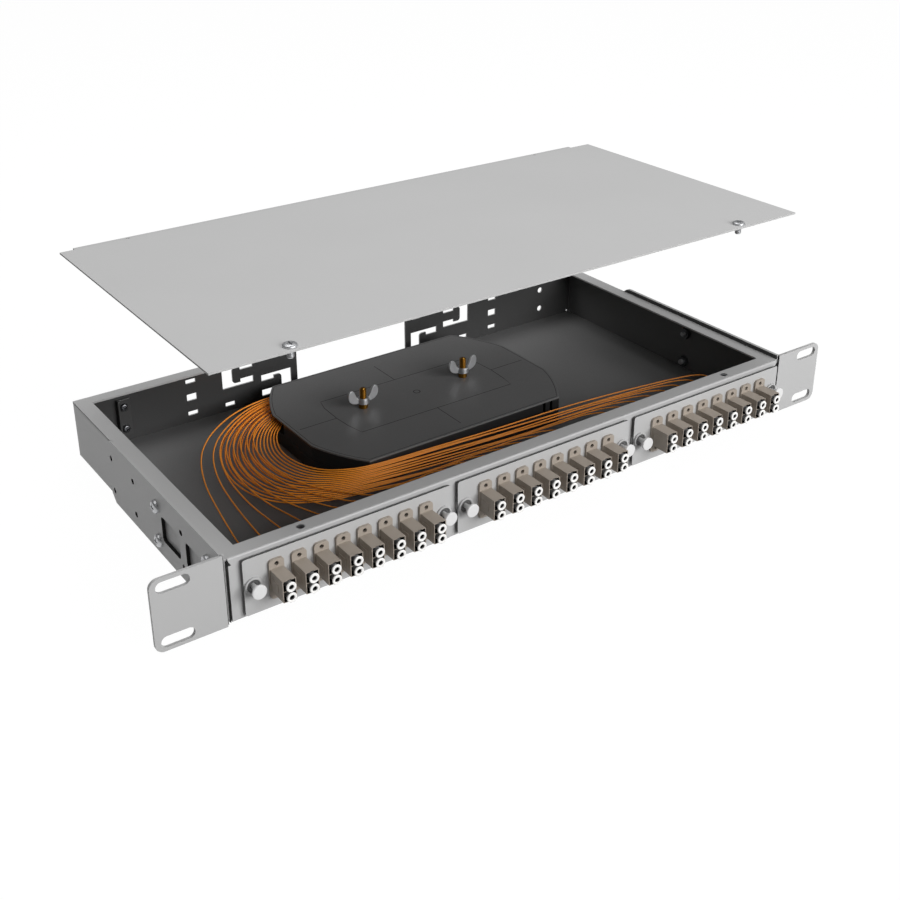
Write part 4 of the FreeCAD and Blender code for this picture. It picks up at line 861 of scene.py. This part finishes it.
def wing_nut():
    """A tapered hub with two rounded, rising wings."""
    seat, bore, half_wing = LID_TOP + 3.5, 2.35, 0.75
    hub = lathe([(seat, bore), (seat, 3.9), (seat + 0.3, 4.2), (seat + 3.2, 3.9), (seat + 3.8, 3.4),
                 (seat + 3.8, bore), (seat, bore)], "z", 36)
    wing = [(2.6, 0.4), (5.4, 0.3), (8.2, 1.2), (10.2, 2.9), (11.1, 5.0), (11.2, 7.3), (10.6, 9.3),
            (9.4, 10.4), (8.0, 10.4), (6.8, 9.4), (5.9, 7.2), (5.0, 5.2), (3.6, 3.4), (2.6, 3.2)]
    wings = [sheet_plate([[(x * sign, seat + z) for x, z in wing]], -half_wing, half_wing, "y", 0.35)
             for sign in (-1, 1)]
    return joined(hub, *wings)


for side, x in zip(("left", "right"), STUD_X):
    new_piece("threaded_stud_" + side, shifted(stud(), x, STUD_Y), BRASS, "chassis",
              "cassette_stud_" + side)
    new_piece("winged_nut_" + side, shifted(wing_nut(), x, STUD_Y), ZINC,
              "wing_nut_" + side, "wing_nut_" + side)


# Fibres: the control points of each route, seen from above, with their heights

def mix(first, second, share):
    """A point between two points."""
    return [a + (b - a) * share for a, b in zip(first, second)]


def fan_start(share):
    """A fibre's first two points: inside the cassette, and in the exit at its rear left corner."""
    return [mix((-69, 184), (-82, 155.5), share), (-83 - 7 * share ** 0.7, 186.5 - 37 * share)]


# The left fan, for the fibres numbered here: place in the exit, and points; the rest lie between
LEFT_GUIDES = {
    0: (0.0, [(-116, 177), (-146.5, 150), (-162.5, 112), (-170, 72), (-174.6, 44)]),
    1: (0.06, [(-112, 173), (-140, 147.5), (-154, 112), (-159.5, 74), (-161.9, 44)]),
    3: (0.2, [(-110, 168), (-132.5, 146), (-143, 113), (-144.5, 75), (-137.6, 44.5)]),
    7: (0.6, [(-105, 155.5), (-118, 137), (-123, 107.5), (-116.5, 74), (-95.5, 45.5)]),
}
# Heights of a left fibre's points, from the exit on
LEFT_LEVELS = [-3.4, -3.2, -3.6, -4.0, -4.1, -3.9, -3.5]
# The outermost and the innermost of the fibres that turn right, and the heights of their points
TURNING_GUIDES = [
    [(-115, 169), (-139, 141), (-148.5, 105), (-141, 70.5), (-114, 53), (-88, 48.3)],
    [(-100.5, 139), (-107, 120), (-105.5, 102), (-98.5, 86.5), (-86.5, 75), (-71.5, 69.2)],
]
TURNING_LEVELS = [-4.9, -4.7, -5.3, -5.8, -5.9, -5.7]
TURNING = 2 * ADAPTERS
TURNING_PORTS = [(1 + step // ADAPTERS, step % ADAPTERS) for step in range(TURNING)]
# Distances between a route's points along the ribbon, from its end back to the fan
RIBBON_STEPS = [21, 38, 56, 56, 56, 56]
PLUG_END = (BOOT_END, PORT_Z[0])


def port_x(plate, number):
    """Where an adapter's port stands across the whole panel."""
    return list(PLATE_X.values())[plate] + adapter_x(number)


def left_route(number):
    """The route of a fibre to the left plate."""
    marks = sorted(LEFT_GUIDES)
    low = max(mark for mark in marks if mark <= number)
    high = min(mark for mark in marks if mark >= number)
    part = 0 if low == high else (number - low) / (high - low)
    share = LEFT_GUIDES[low][0] + (LEFT_GUIDES[high][0] - LEFT_GUIDES[low][0]) * part
    way = [mix(a, b, part) for a, b in zip(LEFT_GUIDES[low][1], LEFT_GUIDES[high][1])]
    points = [(x, y, z) for (x, y), z in zip(fan_start(share) + way, LEFT_LEVELS)]
    x, (y, z) = port_x(0, number), PLUG_END
    points.append((x + 0.28 * (points[-1][0] - x), y + 9, z - 0.1))
    return points + [(x, y + 4, z), (x, y, z)]


# Where each of the fibres that turn right leaves the ribbon, which is some way before its port
LEAVE_EARLY = 18
LEAVES = [port_x(*port) - LEAVE_EARLY for port in TURNING_PORTS]


def ribbon_y(number, x):
    """A fibre's lane in the ribbon, which opens out as the fibres before it leave for their ports."""
    gone = 0
    if x > LEAVES[0]:
        gone = max(step for step in range(TURNING) if LEAVES[step] <= x + 0.001)
        if gone < TURNING - 1:
            gone += (x - LEAVES[gone]) / (LEAVES[gone + 1] - LEAVES[gone])
    front, drift, lane, widening = 42.5, 0.5, 1.8, 0.07
    return front + drift * gone + (lane + widening * gone) * (number - gone)


def ribbon_points(number, begin, height):
    """Points along the ribbon, which sags a little between its ends and has small waves."""
    wave, sag = 1.1, 1.3
    end = LEAVES[number]
    steps = list(RIBBON_STEPS)
    while sum(steps[:-1]) >= end - begin:
        steps.pop()
    scale = (end - begin) / sum(steps)
    points = []
    for count in range(len(steps) - 1, -1, -1):
        x = end - scale * sum(steps[:count])
        along = (x - begin) / (end - begin)
        level = height + (PLUG_END[1] - height) * along
        level += (wave * math.sin(2.4 * number + 4 * along) - sag) * math.sin(math.pi * along)
        points.append((x, ribbon_y(number, x), level))
    return points


def turning_route(number):
    """The route of a fibre round the cassette's corner and along the front to its plate."""
    share = number / (TURNING - 1)
    way = [mix(a, b, share) for a, b in zip(*TURNING_GUIDES)]
    levels = TURNING_LEVELS + [-5.4 + 1.4 * share, -5.2 + 2.0 * share]
    points = [(x, y, z) for (x, y), z in zip(fan_start(0.09 + 0.91 * share) + way, levels)]
    points += ribbon_points(number, points[-1][0], points[-1][2])
    x, (y, z) = port_x(*TURNING_PORTS[number]), PLUG_END
    ribbon = points[-1][1]
    points.append((x - 7, ribbon - 2.8, z - 0.2))
    points.append((x - 1.5, ribbon - 6.4, z - 0.1))
    return points + [(x, y + 4, z), (x, y, z)]


def smooth_line(points):
    """Points read from the NURBS spline whose control points are the route's."""
    curve = bpy.data.curves.new("route", "CURVE")
    curve.dimensions = "3D"
    spline = curve.splines.new("NURBS")
    spline.points.add(len(points) - 1)
    for point, spot in zip(spline.points, points):
        point.co = (spot[0] * MM, spot[1] * MM, spot[2] * MM, 1)
    spline.order_u = 3
    spline.use_endpoint_u = True
    curve.resolution_u = 6
    item = bpy.data.objects.new("route", curve)
    bpy.context.scene.collection.objects.link(item)
    graph = bpy.context.evaluated_depsgraph_get()
    data = bpy.data.meshes.new_from_object(item.evaluated_get(graph), depsgraph=graph)
    line = [vertex.co.copy() for vertex in data.vertices]
    bpy.data.objects.remove(item)
    bpy.data.curves.remove(curve)
    bpy.data.meshes.remove(data)
    return line


def tube(line, radius):
    """A round tube along a line of points."""
    sides = 10
    mesh = bmesh.new()
    rings = []
    across = None
    for step, spot in enumerate(line):
        before, after = line[max(0, step - 1)], line[min(len(line) - 1, step + 1)]
        along = (after - before).normalized()
        if across is None:
            across = along.cross(Vector((0, 0, 1))).normalized()
        across = (across - along * across.dot(along)).normalized()
        up = along.cross(across)
        rings.append([mesh.verts.new(spot + (across * math.cos(math.tau * turn / sides)
                                             + up * math.sin(math.tau * turn / sides)) * radius)
                      for turn in range(sides)])
    for low, high in zip(rings, rings[1:]):
        for turn in range(sides):
            after = (turn + 1) % sides
            mesh.faces.new((low[turn], low[after], high[after], high[turn]))
    mesh.faces.new(rings[0])
    mesh.faces.new(rings[-1][::-1])
    return mesh


def lay_fibre(name, node, route):
    """One fibre, held by the cassette at one end and by its plug's boot at the other.
    """
    line = smooth_line(route)
    mesh = tube(line, FIBRE_RADIUS * MM)
    bmesh.ops.recalc_face_normals(mesh, faces=mesh.faces)
    data = bpy.data.meshes.new(name)
    mesh.to_mesh(data)
    mesh.free()
    data.materials.append(FIBRE)
    data.shade_smooth()
    item = bpy.data.objects.new(name, data)
    bpy.context.scene.collection.objects.link(item)
    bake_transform(item)
    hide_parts(node)


for plate, side in enumerate(PLATE_X):
    for number in range(ADAPTERS):
        route = turning_route(number + ADAPTERS * (plate - 1)) if plate else left_route(number)
        lay_fibre("fibre_%s_%d" % (side, number + 1), "fibres_" + side, route)


# Floor, world and lamps

def white_for_camera(name, shade):
    """Nearly white where the camera, a mirror or glass looks at it, and plain for the light."""
    made = bpy.data.materials.new(name)
    made.use_nodes = True
    nodes, links = made.node_tree.nodes, made.node_tree.links
    nodes.clear()
    out = nodes.new("ShaderNodeOutputMaterial")
    path = nodes.new("ShaderNodeLightPath")
    glow = nodes.new("ShaderNodeEmission")
    glow.inputs["Color"].default_value = (1, 1, 1, 1)
    glow.inputs["Strength"].default_value = 1.09
    matt = nodes.new("ShaderNodeBsdfDiffuse")
    matt.inputs["Color"].default_value = (shade, shade, shade, 1)
    seen = nodes.new("ShaderNodeMath")
    seen.operation = "MAXIMUM"
    links.new(path.outputs["Is Camera Ray"], seen.inputs[0])
    links.new(path.outputs["Is Glossy Ray"], seen.inputs[1])
    both = nodes.new("ShaderNodeMath")
    both.operation = "MAXIMUM"
    links.new(seen.outputs[0], both.inputs[0])
    links.new(path.outputs["Is Transmission Ray"], both.inputs[1])
    blend = nodes.new("ShaderNodeMixShader")
    share = nodes.new("ShaderNodeMath")
    share.operation = "MULTIPLY"
    share.inputs[1].default_value = 0.9
    links.new(both.outputs[0], share.inputs[0])
    links.new(share.outputs[0], blend.inputs["Fac"])
    links.new(matt.outputs[0], blend.inputs[1])
    links.new(glow.outputs[0], blend.inputs[2])
    links.new(blend.outputs[0], out.inputs["Surface"])
    return made


FLOOR_HALF = 6.0
floor_mesh = bpy.data.meshes.new("floor")
corners = [(x, y, 0) for x, y in loop_span(-FLOOR_HALF, -FLOOR_HALF, FLOOR_HALF, FLOOR_HALF)]
floor_mesh.from_pydata(corners, [], [(0, 1, 2, 3)])
floor_mesh.materials.append(white_for_camera("floor_white", 0.3))
floor = bpy.data.objects.new("floor", floor_mesh)
floor.location.z = EAR_LOW * MM - 0.0002
bpy.context.scene.collection.objects.link(floor)

world = bpy.data.worlds.new("world")
bpy.context.scene.world = world
world.use_nodes = True
nodes, links = world.node_tree.nodes, world.node_tree.links
nodes.clear()
out = nodes.new("ShaderNodeOutputWorld")
path = nodes.new("ShaderNodeLightPath")
sky = nodes.new("ShaderNodeBackground")
sky.inputs["Color"].default_value = (1, 1, 1, 1)
sky.inputs["Strength"].default_value = 0.11
white = nodes.new("ShaderNodeBackground")
white.inputs["Color"].default_value = (1, 1, 1, 1)
white.inputs["Strength"].default_value = 1.0
mixer = nodes.new("ShaderNodeMixShader")
links.new(path.outputs["Is Camera Ray"], mixer.inputs["Fac"])
links.new(sky.outputs[0], mixer.inputs[1])
links.new(white.outputs[0], mixer.inputs[2])
links.new(mixer.outputs[0], out.inputs["Surface"])


def lamp(name, spot, aim, size, power):
    """A rectangular lamp, in metres and watts."""
    data = bpy.data.lights.new(name, "AREA")
    data.shape = "RECTANGLE"
    data.size, data.size_y = size
    data.energy = power
    item = bpy.data.objects.new(name, data)
    bpy.context.scene.collection.objects.link(item)
    item.location = spot
    item.rotation_euler = (Vector(aim) - Vector(spot)).to_track_quat("-Z", "Y").to_euler()


lamp("lamp_top", spot=(-0.15, 0.45, 1.5), aim=(0, 0.1, 0), size=(1.5, 1.0), power=14.4)
lamp("lamp_front", spot=(0.45, -1.5, 0.7), aim=(0, 0, 0), size=(1.3, 0.8), power=30)
lamp("lamp_right", spot=(1.4, -0.1, 1.2), aim=(0.1, 0.1, 0), size=(1.1, 1.1), power=4)
